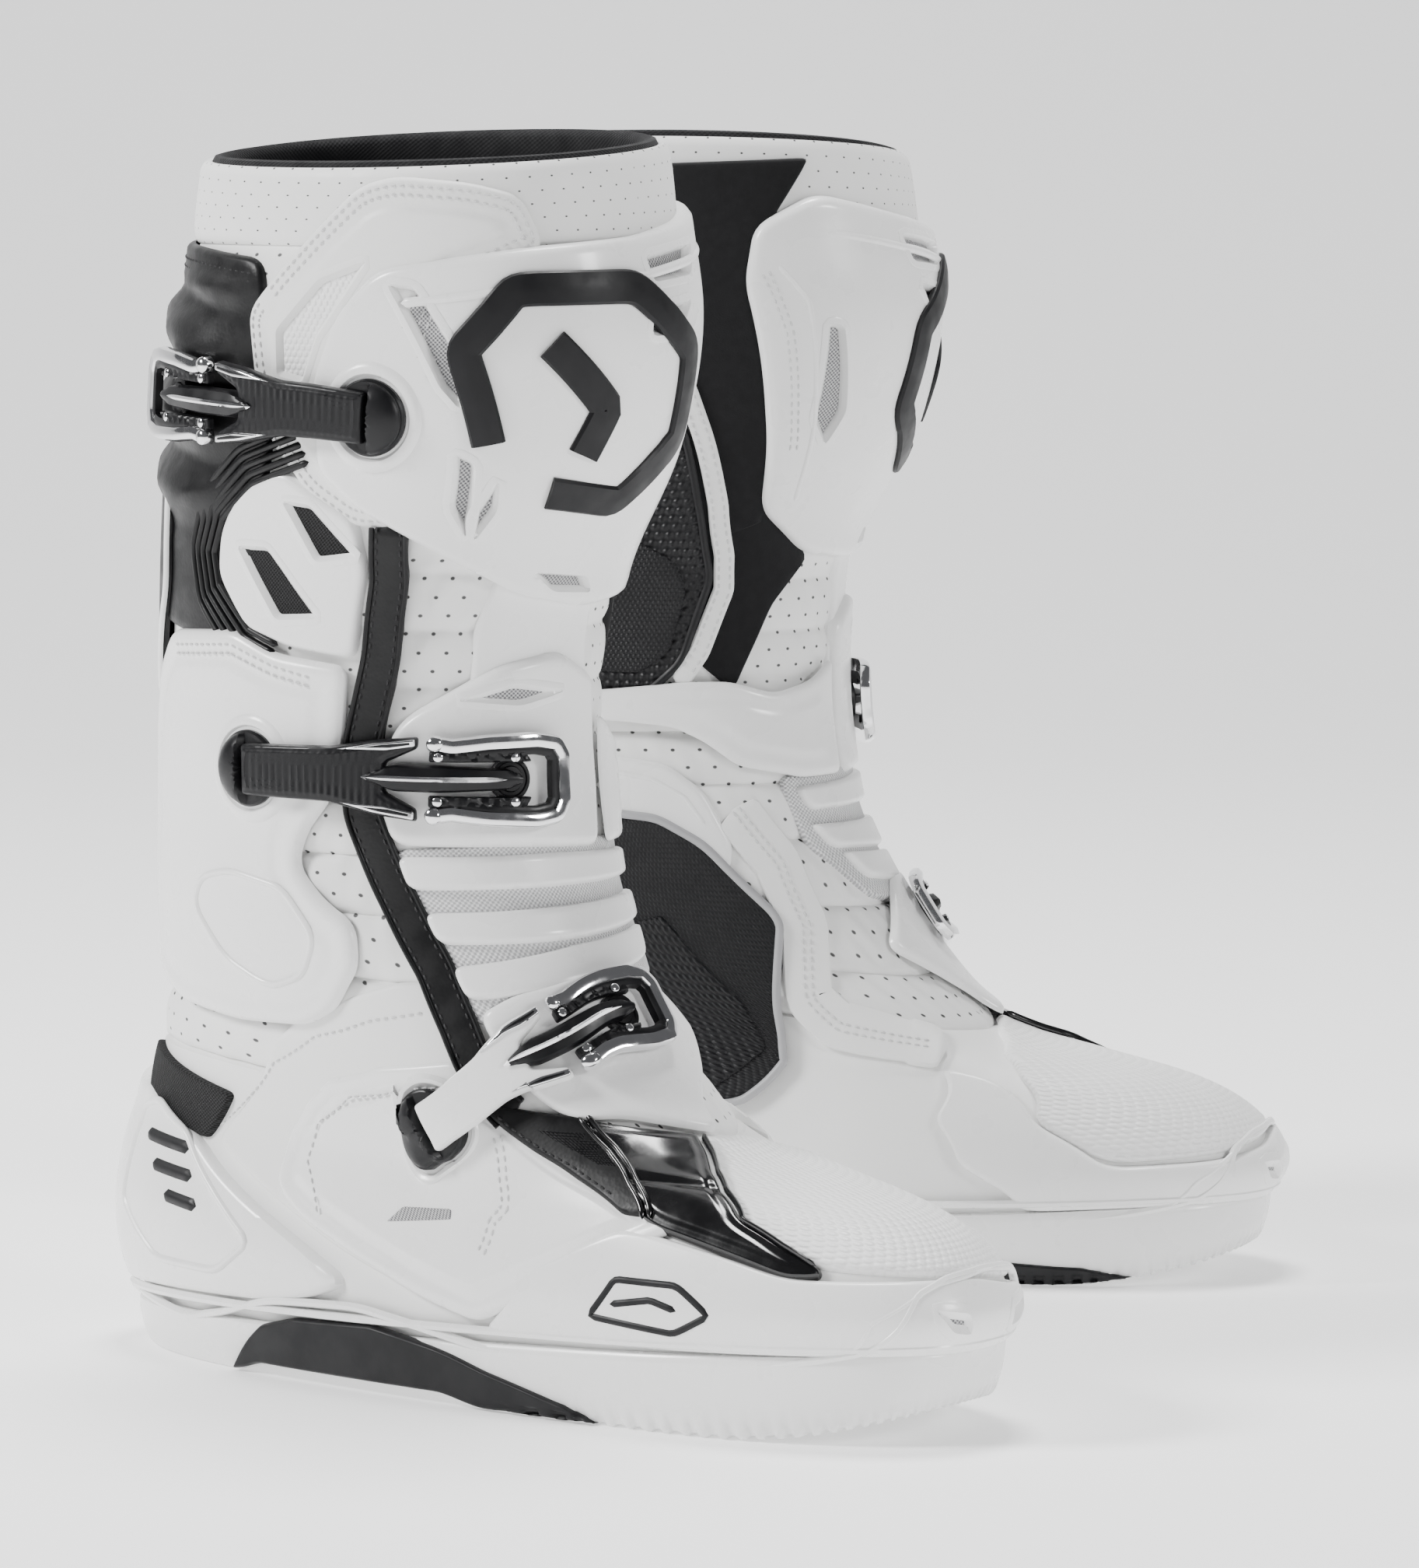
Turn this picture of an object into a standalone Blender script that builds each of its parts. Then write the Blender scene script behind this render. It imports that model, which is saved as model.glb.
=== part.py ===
"""Pair of tall armoured riding boots, built from one lofted boot body.

Every part is a shell laid on the same body surface.  The surface is a stack of closed
loops: horizontal rings around the leg that fan out over the foot like contour lines.
Local boot frame, millimetres: x towards the outer side, f towards the toe, z up.
"""
import math

import bpy
import numpy as np
from mathutils import Vector
from mathutils.geometry import delaunay_2d_cdt

# ---------------------------------------------------------------- driving dimensions, mm
MM = 0.001
BOOT_GAP = 240.0          # distance between the two ankle centres
STAGGER = 30.0            # the left boot stands this much further back
TOE_OUT = 10.0            # degrees each boot is turned outwards
Y_CENTRE = 54.66          # moves the pair so that its box is centred on the origin
PIVOT = (-20.0, 152.0)    # ankle pivot, forward and up
BOOTIE = (-8.0, -4.6)     # inner bootie, inside and outside offsets
LEATHER = (-2.0, 1.0)     # leather and fabric layer
PLATE = (3.6, 6.6)        # moulded armour layer
THIN_PLATE = (3.6, 5.8)   # panels and flexible plates
FLAP_PLATE = (5.0, 6.8)   # flap under the instep buckle
BASE = (7.6, 8.6)         # catches and post flanges
STRAP = (9.4, 12.4)       # straps
FRAME = (9.4, 12.8)       # buckle frames
POST_R = 12.0
LEG_JOINT = 186.0         # height of the seam between cuff and ankle bellows
FOOT_JOINT = 106.0        # seam between ankle bellows and foot upper
COLLAR_JOINT = 365.0
SEAM = 0.8                # half gap between neighbouring rings
RIM = 391.0
RIM_TILT = 5.0            # the rim is higher on the inner side
SOLE_EDGE = 12.8
RING_STEPS = 24
FOOT_ROWS = (14.2, 26, 40, 54, 70, 88)
LEG_ROWS = (220, 260, 300, 340)

# height behind, back, height in front, front, widest point, outer and inner half width,
# offset across, roundness in front and behind
LOOPS = np.array([
    [12, -98, 26, 214, 100, 50, 50, 0, 2.3, 2.9],
    [30, -107, 40, 222, 100, 53, 52, 0, 2.3, 2.9],
    [48, -110, 54, 213, 92, 51, 50, 0, 2.3, 2.9],
    [64, -109, 64, 194, 76, 48, 47, 0, 2.2, 2.7],
    [78, -105, 71, 165, 58, 46, 45, 0, 2.2, 2.5],
    [92, -100, 77, 138, 42, 46, 45, 0, 2.2, 2.4],
    [106, -94, 87, 116, 26, 47, 46, 0, 2.2, 2.3],
    [120, -90, 103, 100, 12, 48, 47, 0, 2.2, 2.3],
    [136, -88, 126, 84, 0, 49, 48, 0, 2.2, 2.3],
    [156, -87, 154, 69, -8, 50, 49, 0, 2.2, 2.3],
    [180, -87, 181, 63, -10, 51, 50, 0, 2.2, 2.2],
    [220, -86, 220, 61, -10, 52, 51, 0, 2.2, 2.2],
    [260, -84, 260, 66, -6, 55, 54, 0, 2.2, 2.2],
    [300, -80, 300, 86, 3, 59, 58, 0, 2.2, 2.2],
    [340, -75, 340, 94, 8, 61, 60, 0, 2.2, 2.2],
    [370, -71, 370, 89, 10, 61, 60, 0, 2.2, 2.2],
    [402, -67, 402, 85, 12, 61, 60, 0, 2.2, 2.2]], float)
KNOTS = LOOPS[:, 0]


def hermite(t, values):
    """Smooth curve through the loop table."""
    slope = np.gradient(values, KNOTS)
    i = np.clip(np.searchsorted(KNOTS, t, side="right") - 1, 0, len(KNOTS) - 2)
    h = KNOTS[i + 1] - KNOTS[i]
    s = (t - KNOTS[i]) / h
    a = (1 + 2 * s) * (1 - s) ** 2 * values[i] + s * (1 - s) ** 2 * h * slope[i]
    return a + s * s * (3 - 2 * s) * values[i + 1] + s * s * (s - 1) * h * slope[i + 1]


def body(angle, t):
    """Point of the body surface; angle 0 is the front and 90 the outer side."""
    angle, t = np.broadcast_arrays(np.asarray(angle, float), np.asarray(t, float))
    back, z_front, front, wide, outer, inner, shift, n_front, n_back = (
        hermite(t, LOOPS[:, i]) for i in range(1, 10))
    c, s = np.cos(np.radians(angle)), np.sin(np.radians(angle))
    n = np.where(c >= 0, n_front, n_back)
    k = (np.abs(c) ** n + np.abs(s) ** n) ** (-1 / n)
    c, s = c * k, s * k
    f = wide + np.where(c >= 0, (front - wide) * c, (wide - back) * c)
    x = shift + np.where(s >= 0, outer, inner) * s
    r = np.clip((f - back) / (front - back), 0, 1)
    return np.stack([x, f, t + (z_front - t) * r ** 1.5], -1)


def surface(angle, t, offset=0.0):
    """Body surface moved outwards by offset."""
    e = 0.05
    across = body(np.asarray(angle) + e, t) - body(np.asarray(angle) - e, t)
    along = body(angle, np.asarray(t) + e) - body(angle, np.asarray(t) - e)
    normal = np.cross(along, across)
    normal /= np.linalg.norm(normal, axis=-1, keepdims=True)
    return body(angle, t) + normal * np.asarray(offset)[..., None]


# ---------------------------------------------------------------- mesh helpers
def ring_part(heights, depth, steps=RING_STEPS, closed_bottom=False, tilt=0.0):
    """Shell right round the body through the given heights; tilt slopes the top one."""
    angle = np.arange(steps) * 360.0 / steps
    rows = len(heights)
    t = np.repeat(np.array(heights, float)[:, None], steps, 1)
    t[-1] -= tilt * np.sin(np.radians(angle))
    verts = surface(np.broadcast_to(angle, t.shape), t, depth[0]).reshape(-1, 3)
    faces = cap(0, steps, True) if closed_bottom else []
    for r in range(rows - 1):
        for i in range(steps):
            j = (i + 1) % steps
            faces.append(((r + 1) * steps + i, (r + 1) * steps + j, r * steps + j, r * steps + i))
    return verts, faces, depth[1] - depth[0]


def cap(start, steps, down):
    """Strips straight across a loop, pairing each outer point with its inner twin."""
    faces = []
    for i in range(steps // 2):
        a, b = start + i, start + i + 1
        c, d = start + (steps - i - 1) % steps, start + (steps - i) % steps
        face = [a, b, c, d]
        if i == 0:
            face = [a, b, c]
        if i == steps // 2 - 1:
            face = [a, b, d]
        faces.append(tuple(face if down else face[::-1]))
    return faces


def flat_mesh(outline, step, lines=()):
    """Triangles over a flat outline, with points about every step and edges along lines."""
    points, edges = [], []
    for line, closed in [(outline, True)] + [(line, False) for line in lines]:
        dense = subdivide(line, step, closed)
        first, count = len(points), len(dense)
        points += dense
        edges += [(first + i, first + (i + 1) % count) for i in range(count if closed else count - 1)]
    border = np.array(points)
    low_u, low_v = border.min(0)
    high_u, high_v = border.max(0)
    for u in np.arange(low_u + step / 2, high_u, step):
        for v in np.arange(low_v + step / 2, high_v, step):
            if inside(u, v, outline) and np.hypot(*(border - (u, v)).T).min() > step * 0.55:
                points.append((u, v))
    result = delaunay_2d_cdt([Vector(p) for p in points], edges, [], 0, 1e-4)
    flat = np.array([tuple(p) for p in result[0]])
    faces = [tuple(face) for face in result[2] if inside(*flat[list(face)].mean(0), outline)]
    return flat[:, 0], flat[:, 1], faces


def outwards(faces, low, high):
    """Faces turned so that they look from the low points towards the high ones."""
    a, b, c = low[list(faces[0])]
    if np.dot(np.cross(b - a, c - a), high[faces[0][0]] - a) < 0:
        return [face[::-1] for face in faces]
    return faces


def panel_part(outline, place, depth, step):
    """Shell over an outline; place(u, v, offset) puts the outline on the body."""
    u, v, faces = flat_mesh(outline, step)
    low = place(u, v, np.full(len(u), depth[0]))
    high = place(u, v, np.full(len(u), depth[1]))
    return low, outwards(faces, low, high), depth[1] - depth[0]


def solid_part(outline, place, low, high, step, lines=()):
    """Closed solid between a flat base and a top whose height is a function of u and v."""
    u, v, faces = flat_mesh(outline, step, lines)
    base, top = place(u, v, np.full(len(u), low)), place(u, v, high(u, v))
    faces = outwards(faces, base, top)
    count = len(u)
    edges = {(a, b) for face in faces for a, b in zip(face, face[1:] + face[:1])}
    sides = [(b, a, count + a, count + b) for a, b in sorted(edges) if (b, a) not in edges]
    bottom = [tuple(count + i for i in face[::-1]) for face in faces]
    return np.concatenate([top, base]), faces + bottom + sides, 0.0


def subdivide(loop, step, closed=True):
    """Points along straight runs no further apart than step."""
    result = []
    ends = loop[1:] + loop[:1] if closed else loop[1:]
    for (u0, v0), (u1, v1) in zip(loop, ends):
        n = max(1, int(math.ceil(math.hypot(u1 - u0, v1 - v0) / (step * 1.35))))
        result += [(u0 + (u1 - u0) * i / n, v0 + (v1 - v0) * i / n) for i in range(n)]
    if not closed:
        result.append(loop[-1])
    return result


def inside(u, v, outline):
    """Even-odd test of a point against an outline."""
    odd = False
    for (u0, v0), (u1, v1) in zip(outline, outline[1:] + outline[:1]):
        if (v0 > v) != (v1 > v) and u < u0 + (v - v0) * (u1 - u0) / (v1 - v0):
            odd = not odd
    return odd


def on_body(u, v, offset):
    """Outlines drawn in degrees of angle and millimetres of height."""
    return surface(u, v, offset)


class Track:
    """A strap's course over the body: s along it and v across it, both in millimetres."""

    def __init__(self, stations):
        a, t = np.array(stations, float).T
        share = np.linspace(0, len(a) - 1, 241)
        self.a = np.interp(share, range(len(a)), a)
        self.t = np.interp(share, range(len(a)), t)
        for _ in range(60):
            self.a[1:-1] = (self.a[:-2] + self.a[2:] + 2 * self.a[1:-1]) / 4
            self.t[1:-1] = (self.t[:-2] + self.t[2:] + 2 * self.t[1:-1]) / 4
        p = surface(self.a, self.t, STRAP[0])
        self.s = np.concatenate([[0], np.cumsum(np.linalg.norm(np.diff(p, axis=0), axis=1))])

    def place(self, s, v, offset):
        """Point at distance s, moved v sideways along the surface."""
        s, v = np.asarray(s, float), np.asarray(v, float)
        a, t = np.interp(s, self.s, self.a), np.interp(s, self.s, self.t)
        over = (s - np.clip(s, 0, self.s[-1]))
        e = 0.05
        pa = (body(a + e, t) - body(a - e, t)) / (2 * e)
        pt = (body(a, t + e) - body(a, t - e)) / (2 * e)
        da = np.interp(s + 1, self.s, self.a) - np.interp(s - 1, self.s, self.a)
        dt = np.interp(s + 1, self.s, self.t) - np.interp(s - 1, self.s, self.t)
        run = pa * da[..., None] + pt * dt[..., None]
        run /= np.linalg.norm(run, axis=-1, keepdims=True)
        normal = np.cross(pt, pa)
        normal /= np.linalg.norm(normal, axis=-1, keepdims=True)
        side = np.cross(normal, run)
        move = side * v[..., None] + run * over[..., None]
        aa, ab, bb = (pa * pa).sum(-1), (pa * pt).sum(-1), (pt * pt).sum(-1)
        ma, mt = (pa * move).sum(-1), (pt * move).sum(-1)
        det = aa * bb - ab * ab
        return surface(a + (ma * bb - mt * ab) / det, t + (mt * aa - ma * ab) / det, offset)

    def axis(self, s, offset):
        """Point on the hinge line across the strap and the direction of that line."""
        p, q = self.place(np.array([s, s]), np.array([-6.0, 6.0]), np.array([offset, offset]))
        return (p + q) / 2, (q - p) / np.linalg.norm(q - p)


def rounded(points, radius):
    """Outline with each corner cut to two points."""
    result = []
    count = len(points)
    for i, (u, v) in enumerate(points):
        for u1, v1 in (points[i - 1], points[(i + 1) % count]):
            length = math.hypot(u1 - u, v1 - v)
            cut = min(radius, length * 0.35)
            result.append((u + (u1 - u) * cut / length, v + (v1 - v) * cut / length))
    return result


# ---------------------------------------------------------------- outlines
SHIN = [(70, 359), (40, 363), (6, 366), (-20, 371), (-46, 376), (-62, 366), (-66, 346), (-56, 300),
        (-48, 270), (-30, 253), (0, 250), (25, 256), (52, 268), (72, 280), (83, 292), (87, 320), (82, 342)]
CALF = [(128, 238), (103, 240), (90, 234), (72, 228), (72, 206), (76, 188), (84, 176), (86, 166), (80, 156),
        (79, 140), (88, 127), (98, 120), (115, 117), (132, 120), (147, 127), (152, 150), (153, 186), (150, 208),
        (140, 226)]
MEDIAL = [(-52, 242), (-66, 206), (-88, 202), (-120, 204), (-136, 196), (-130, 178), (-118, 188), (-100, 191),
          (-82, 188), (-70, 176), (-50, 175), (-31, 172), (-14, 178), (-14, 240), (-30, 248)]
GUARD = [(-56, 126), (-60, 146), (-72, 150), (-84, 168), (-92, 178), (-104, 181), (-114, 174), (-119, 158),
         (-116, 140), (-112, 110), (-118, 84), (-112, 60), (-100, 57), (-90, 60), (-88, 80), (-72, 96), (-62, 106)]
GAITER = [(128, 356), (180, 360), (232, 356), (240, 300), (226, 246), (180, 240), (140, 246), (126, 290)]
FLAP = [(58, 212), (50, 221), (30, 232), (10, 234), (-8, 226), (-8, 180), (30, 179), (58, 179), (63, 190)]
FLEX = [(60, 174), (30, 173), (-6, 173), (-4, 144), (20, 145), (54, 140), (57, 155)]
INSTEP = [(52, 128), (40, 135), (15, 140), (-10, 137), (-26, 125), (-12, 118), (0, 108), (5, 98), (17, 104),
          (31, 106), (48, 103), (51, 114)]
VAMP = [(60, 102), (50, 98), (34, 101), (17, 98), (4, 92), (-8, 93), (-20, 92), (-34, 86), (-40, 76), (-28, 72),
        (0, 70), (26, 74), (40, 68), (48, 56), (56, 50), (58, 60), (58, 80)]
TOECAP = [(52, 22), (30, 21), (0, 20), (-30, 21), (-56, 22), (-66, 30), (-68, 52), (-58, 62), (-44, 70),
          (-30, 66), (0, 64), (24, 66), (38, 60), (45, 50), (52, 40)]
SHELL = [(62, 100), (62, 80), (66, 64), (76, 50), (84, 38), (94, 28), (112, 27), (114, 42), (116, 52), (122, 64),
         (126, 78), (118, 92), (106, 102), (88, 105), (72, 105)]
HEEL = [(122, 26), (180, 24), (238, 26), (242, 44), (236, 66), (222, 84), (180, 90), (148, 86), (131, 74),
        (124, 60), (118, 48), (117, 34)]
CATCH = [(7 * math.cos(i * math.pi / 5), 7 * math.sin(i * math.pi / 5)) for i in range(10)]
POST = [(POST_R * math.cos(i * math.pi / 6), POST_R * math.sin(i * math.pi / 6)) for i in range(12)]

# strap name: course in angle and height, strap length, spear end, buckle start and end
STRAPS = {
    "calf": ([(62, 309), (84, 312), (120, 314), (180, 317), (236, 316)], 58.0, 90.0, 60.6, 106.0),
    "ankle": ([(110, 197), (74, 197), (40, 195), (-30, 192)], 62.0, 96.0, 64.6, 112.0),
    "instep": ([(97, 82), (87, 93), (50, 120), (21, 131), (-14, 131), (-40, 127)], 50.0, 80.0, 52.6, 94.0)}
# distance from the start of the course to the middle of the post
POST_AT = {"calf": 14.0, "ankle": 18.0, "instep": 17.0}


def strap_outline(start, length, spear):
    """Strap that widens to its fork and carries the narrow buckle body."""
    half = [(0, 8.2), (length * 0.55, 9.2), (length * 0.8, 12.0), (length, 13.2), (length + 0.5, 8.0),
            (length - 6, 5.0), (length + 8, 4.4), (spear - 4, 3.4), (spear, 1.6)]
    return [(start + s, v) for s, v in half] + [(start + s, -v) for s, v in half[::-1]]


def frame_outline(start, near, far):
    """Buckle frame: outer line, and the window around the buckle body."""
    outer = [(near, 13.4), (near + 12, 13.6), (far - 14, 14.6), (far - 5, 12.0), (far, 6.0)]
    inner = [(near, 8.4), (near + 12, 8.4), (far - 14, 9.0), (far - 9, 7.4), (far - 6, 4.0)]
    line = outer + [(s, -v) for s, v in outer[::-1]] + [(s, -v) for s, v in inner] + inner[::-1]
    return [(start + s, v) for s, v in line]


def outsole():
    """Rubber sole: flat tread under heel and ball, raised waist, wing at the arch."""
    steps = 36
    angle = np.arange(steps) * 360.0 / steps
    rim = body(angle, SOLE_EDGE)
    out = surface(angle, SOLE_EDGE, 4.0) - rim
    out[:, 2] = 0
    out /= np.linalg.norm(out, axis=1, keepdims=True)
    f = rim[:, 1]
    lift = np.clip((f + 34) / 12, 0, 1) * np.clip((52 - f) / 12, 0, 1) * 3.0
    lift += np.clip((f - 150) / 64, 0, 1.1) ** 2 * 11.0
    wing = np.clip((f + 34) / 16, 0, 1) * np.clip((112 - f) / 16, 0, 1)
    wing *= np.sin(np.radians(angle)) > 0.3
    rows = []
    for share, spread in ((0.0, -3.0), (0.3, 1.6), (0.75, 2.2), (1.0, 1.6)):
        p = rim + out * (spread + wing * 3.4 * (share > 0.1))[:, None]
        p[:, 2] = lift + (rim[:, 2] - lift) * share
        rows.append(p)
    verts = np.concatenate(rows)
    faces = []
    for r in range(len(rows) - 1):
        for i in range(steps):
            j = (i + 1) % steps
            faces.append(((r + 1) * steps + i, (r + 1) * steps + j, r * steps + j, r * steps + i))
    faces += cap(0, steps, True)
    faces += cap((len(rows) - 1) * steps, steps, False)
    return verts, faces, 0.0


def post_part(track, centre):
    """Strap post: round flange with a domed half behind the strap's slot."""
    outline = [(centre + s, v) for s, v in POST]
    lines = [[(centre - 0.9, -POST_R * 0.96), (centre - 0.9, POST_R * 0.96)],
             [(centre - 0.5, -POST_R * 0.98), (centre - 0.5, POST_R * 0.98)]]

    def dome(s, v):
        reach = np.clip(1 - ((s - centre) ** 2 + v ** 2) / POST_R ** 2, 0, 1)
        return np.where(s < centre - 0.7, BASE[1] + 3.8 * np.sqrt(reach) + 0.4, BASE[1])

    return solid_part(outline, track.place, BASE[0], dome, 6.0, lines)


def boot_parts():
    """All parts of one boot in its local frame, and its strap courses."""
    tracks = {key: Track(value[0]) for key, value in STRAPS.items()}
    parts = {
        "outsole": outsole(),
        "foot_upper": ring_part(FOOT_ROWS + (FOOT_JOINT - SEAM,), LEATHER, 32),
        "bootie_foot": ring_part((16.5,) + FOOT_ROWS[1:] + (FOOT_JOINT - 1.5,), BOOTIE, 24, True),
        "ankle_bellows": ring_part((FOOT_JOINT + SEAM, 120, 136, 156, LEG_JOINT - SEAM), LEATHER),
        "shaft": ring_part((LEG_JOINT + SEAM,) + LEG_ROWS + (COLLAR_JOINT - SEAM,), LEATHER),
        "collar": ring_part((COLLAR_JOINT + SEAM, RIM), (LEATHER[0], LEATHER[1] + 1.2), tilt=RIM_TILT),
        "bootie_cuff": ring_part((148, 166, LEG_JOINT) + LEG_ROWS + (RIM + 3,), BOOTIE, tilt=RIM_TILT),
        "foot_shell": panel_part(rounded(SHELL, 4), on_body, PLATE, 11),
        "heel_counter": panel_part(rounded(HEEL, 4), on_body, PLATE, 12),
        "toe_cap": panel_part(rounded(TOECAP, 4), on_body, PLATE, 9),
        "vamp_shield": panel_part(rounded(VAMP, 3), on_body, THIN_PLATE, 9),
        "medial_guard": panel_part(rounded(GUARD, 3), on_body, PLATE, 11),
        "instep_flap": panel_part(rounded(INSTEP, 3), on_body, FLAP_PLATE, 10),
        "shin_plate": panel_part(rounded(SHIN, 5), on_body, PLATE, 15),
        "calf_plate": panel_part(rounded(CALF, 4), on_body, PLATE, 13),
        "medial_plate": panel_part(rounded(MEDIAL, 4), on_body, PLATE, 14),
        "rear_gaiter": panel_part(rounded(GAITER, 5), on_body, THIN_PLATE, 15),
        "buckle_flap": panel_part(rounded(FLAP, 4), on_body, PLATE, 11),
        "flex_plate": panel_part(rounded(FLEX, 3), on_body, THIN_PLATE, 11)}
    for key, (course, length, spear, near, far) in STRAPS.items():
        track, start = tracks[key], POST_AT[key]
        parts[key + "_post"] = post_part(track, start)
        line = strap_outline(start, length, spear)
        parts[key + "_strap"] = panel_part(line, track.place, STRAP, 9)
        line = frame_outline(start, near, far)
        parts[key + "_lever"] = panel_part(line, track.place, FRAME, 8)
        if key != "calf":
            line = [(start + spear - 3 + s, v) for s, v in CATCH]
            parts[key + "_catch"] = panel_part(line, track.place, BASE, 7)
    return parts, tracks


# ---------------------------------------------------------------- world placing
def world(points, side):
    """Local millimetres to metres in the shared frame; the left boot is mirrored."""
    points = np.asarray(points, float)
    c, s = math.cos(math.radians(TOE_OUT)), math.sin(math.radians(TOE_OUT))
    x = points[..., 0] * c + points[..., 1] * s
    f = points[..., 1] * c - points[..., 0] * s
    sign, back = (1, STAGGER / 2) if side == "left" else (-1, -STAGGER / 2)
    return np.stack([sign * (BOOT_GAP / 2 + x), Y_CENTRE - f + back, points[..., 2]], -1) * MM


def turned(direction, side):
    """Local direction in the shared frame."""
    direction = np.asarray(direction, float)
    return (world(direction, side) - world(direction * 0, side)) / MM


LOOKS = {
    "white": ((0.86, 0.86, 0.85), 0.4), "gloss": ((0.9, 0.9, 0.89), 0.2),
    "black": ((0.02, 0.02, 0.022), 0.55), "rubber": ((0.015, 0.015, 0.016), 0.75),
    "lining": ((0.03, 0.03, 0.033), 0.9), "chrome": ((0.8, 0.8, 0.82), 0.12)}
LOOK_OF = {
    "outsole": "rubber", "foot_upper": "white", "bootie_foot": "lining", "ankle_bellows": "white",
    "shaft": "white", "collar": "white", "bootie_cuff": "lining", "foot_shell": "gloss",
    "heel_counter": "gloss", "toe_cap": "gloss", "vamp_shield": "black", "medial_guard": "black",
    "instep_flap": "gloss", "shin_plate": "gloss", "calf_plate": "gloss", "medial_plate": "gloss",
    "rear_gaiter": "black", "buckle_flap": "gloss", "flex_plate": "gloss", "calf_strap": "black",
    "ankle_strap": "black", "instep_strap": "white"}


def add_object(name, verts, faces, thickness, side, collection):
    """Object with its own material; a shell is an open surface thickened outwards."""
    mesh = bpy.data.meshes.new(name)
    if side == "left":
        faces = [face[::-1] for face in faces]
    mesh.from_pydata([tuple(p) for p in world(verts, side)], [], faces)
    part = name.split("_", 1)[1]
    kind = LOOK_OF.get(part, "chrome" if part.endswith("lever") else "black")
    material = bpy.data.materials.new(name)
    material.use_nodes = True
    shader = material.node_tree.nodes["Principled BSDF"]
    colour, rough = LOOKS[kind]
    shader.inputs["Base Color"].default_value = (*colour, 1)
    shader.inputs["Roughness"].default_value = rough
    shader.inputs["Metallic"].default_value = 1.0 if kind == "chrome" else 0.0
    mesh.materials.append(material)
    item = bpy.data.objects.new(name, mesh)
    collection.objects.link(item)
    if thickness:
        skin = item.modifiers.new("thickness", "SOLIDIFY")
        skin.thickness = thickness * MM
        skin.offset = 1.0
        skin.use_even_offset = True
    return item


def add_joint(name, point, direction, side, collection):
    """Empty on a joint axis, its local Z along the axis."""
    empty = bpy.data.objects.new(name, None)
    empty.empty_display_size = 0.02
    empty.location = world(point, side)
    empty.rotation_mode = "QUATERNION"
    empty.rotation_quaternion = Vector(turned(direction, side)).to_track_quat("Z", "Y")
    collection.objects.link(empty)
    return empty


def attach(item, empty):
    """Parent an object to a joint empty without moving it."""
    bpy.context.view_layer.update()
    item.parent = empty
    item.matrix_parent_inverse = empty.matrix_world.inverted()


def main():
    for item in list(bpy.data.objects):
        bpy.data.objects.remove(item)
    boots = bpy.data.collections.new("riding_boots")
    bpy.context.scene.collection.children.link(boots)
    parts, tracks = boot_parts()
    cuff_parts = ("shaft", "collar", "bootie_cuff", "shin_plate", "calf_plate", "medial_plate",
                  "rear_gaiter", "buckle_flap", "calf_post", "ankle_post", "ankle_catch")
    for side in ("right", "left"):
        items = {key: add_object(side + "_" + key, *value, side, boots) for key, value in parts.items()}
        ankle = add_joint(side + "_ankle_axis", (0, *PIVOT), (1, 0, 0), side, boots)
        for key in cuff_parts:
            attach(items[key], ankle)
        for key, (course, length, spear, near, far) in STRAPS.items():
            start, track = POST_AT[key], tracks[key]
            root = add_joint(side + "_" + key + "_strap_axis", *track.axis(start, STRAP[1]), side, boots)
            pin = add_joint(side + "_" + key + "_lever_axis", *track.axis(start + near + 3, 11), side, boots)
            attach(items[key + "_strap"], root)
            attach(items[key + "_lever"], pin)
            attach(pin, root)
            if key != "instep":
                attach(root, ankle)


main()
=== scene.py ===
"""Looks of a pair of tall armoured riding boots, laid out as a Blender add-on.

Everything is a surface laid on one lofted boot body.  The body is a stack of closed loops,
horizontal around the leg and fanned out over the foot like contour lines.  Local boot frame,
millimetres: x towards the outer side, f towards the toe, z up.  An outline on the body is
written as (angle, height): angle 0 is the front, 90 the outer side and 180 the back.
"""
import math

import bmesh
import bpy
import numpy as np
from bpy.props import FloatProperty, FloatVectorProperty, IntProperty, PointerProperty
from bpy.types import Operator, Panel, PropertyGroup
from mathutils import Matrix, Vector

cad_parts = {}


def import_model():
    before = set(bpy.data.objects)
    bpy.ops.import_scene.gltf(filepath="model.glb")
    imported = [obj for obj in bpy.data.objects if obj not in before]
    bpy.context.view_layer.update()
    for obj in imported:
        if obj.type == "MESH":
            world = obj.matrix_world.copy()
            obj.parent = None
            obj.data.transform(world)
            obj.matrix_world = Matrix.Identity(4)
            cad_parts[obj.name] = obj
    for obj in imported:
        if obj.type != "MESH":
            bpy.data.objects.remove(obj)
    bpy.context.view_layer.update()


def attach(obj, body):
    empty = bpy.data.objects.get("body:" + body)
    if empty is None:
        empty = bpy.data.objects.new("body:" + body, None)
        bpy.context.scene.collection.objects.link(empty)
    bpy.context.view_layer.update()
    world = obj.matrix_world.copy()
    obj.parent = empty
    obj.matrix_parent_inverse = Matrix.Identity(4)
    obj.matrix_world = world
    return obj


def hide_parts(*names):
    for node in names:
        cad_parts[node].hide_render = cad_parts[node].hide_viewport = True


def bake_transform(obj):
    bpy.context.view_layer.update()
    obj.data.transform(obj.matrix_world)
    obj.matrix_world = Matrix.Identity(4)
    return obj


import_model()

bl_info = {
    "name": "Armoured Riding Boots",
    "version": (1, 0, 0),
    "blender": (4, 5, 0),
    "location": "View3D > Sidebar > Boots",
    "description": "Builds the leather, armour, straps and buckles of a pair of riding boots",
    "category": "Add Mesh",
}

MM = 0.001
SIDES = ("right", "left")

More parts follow.
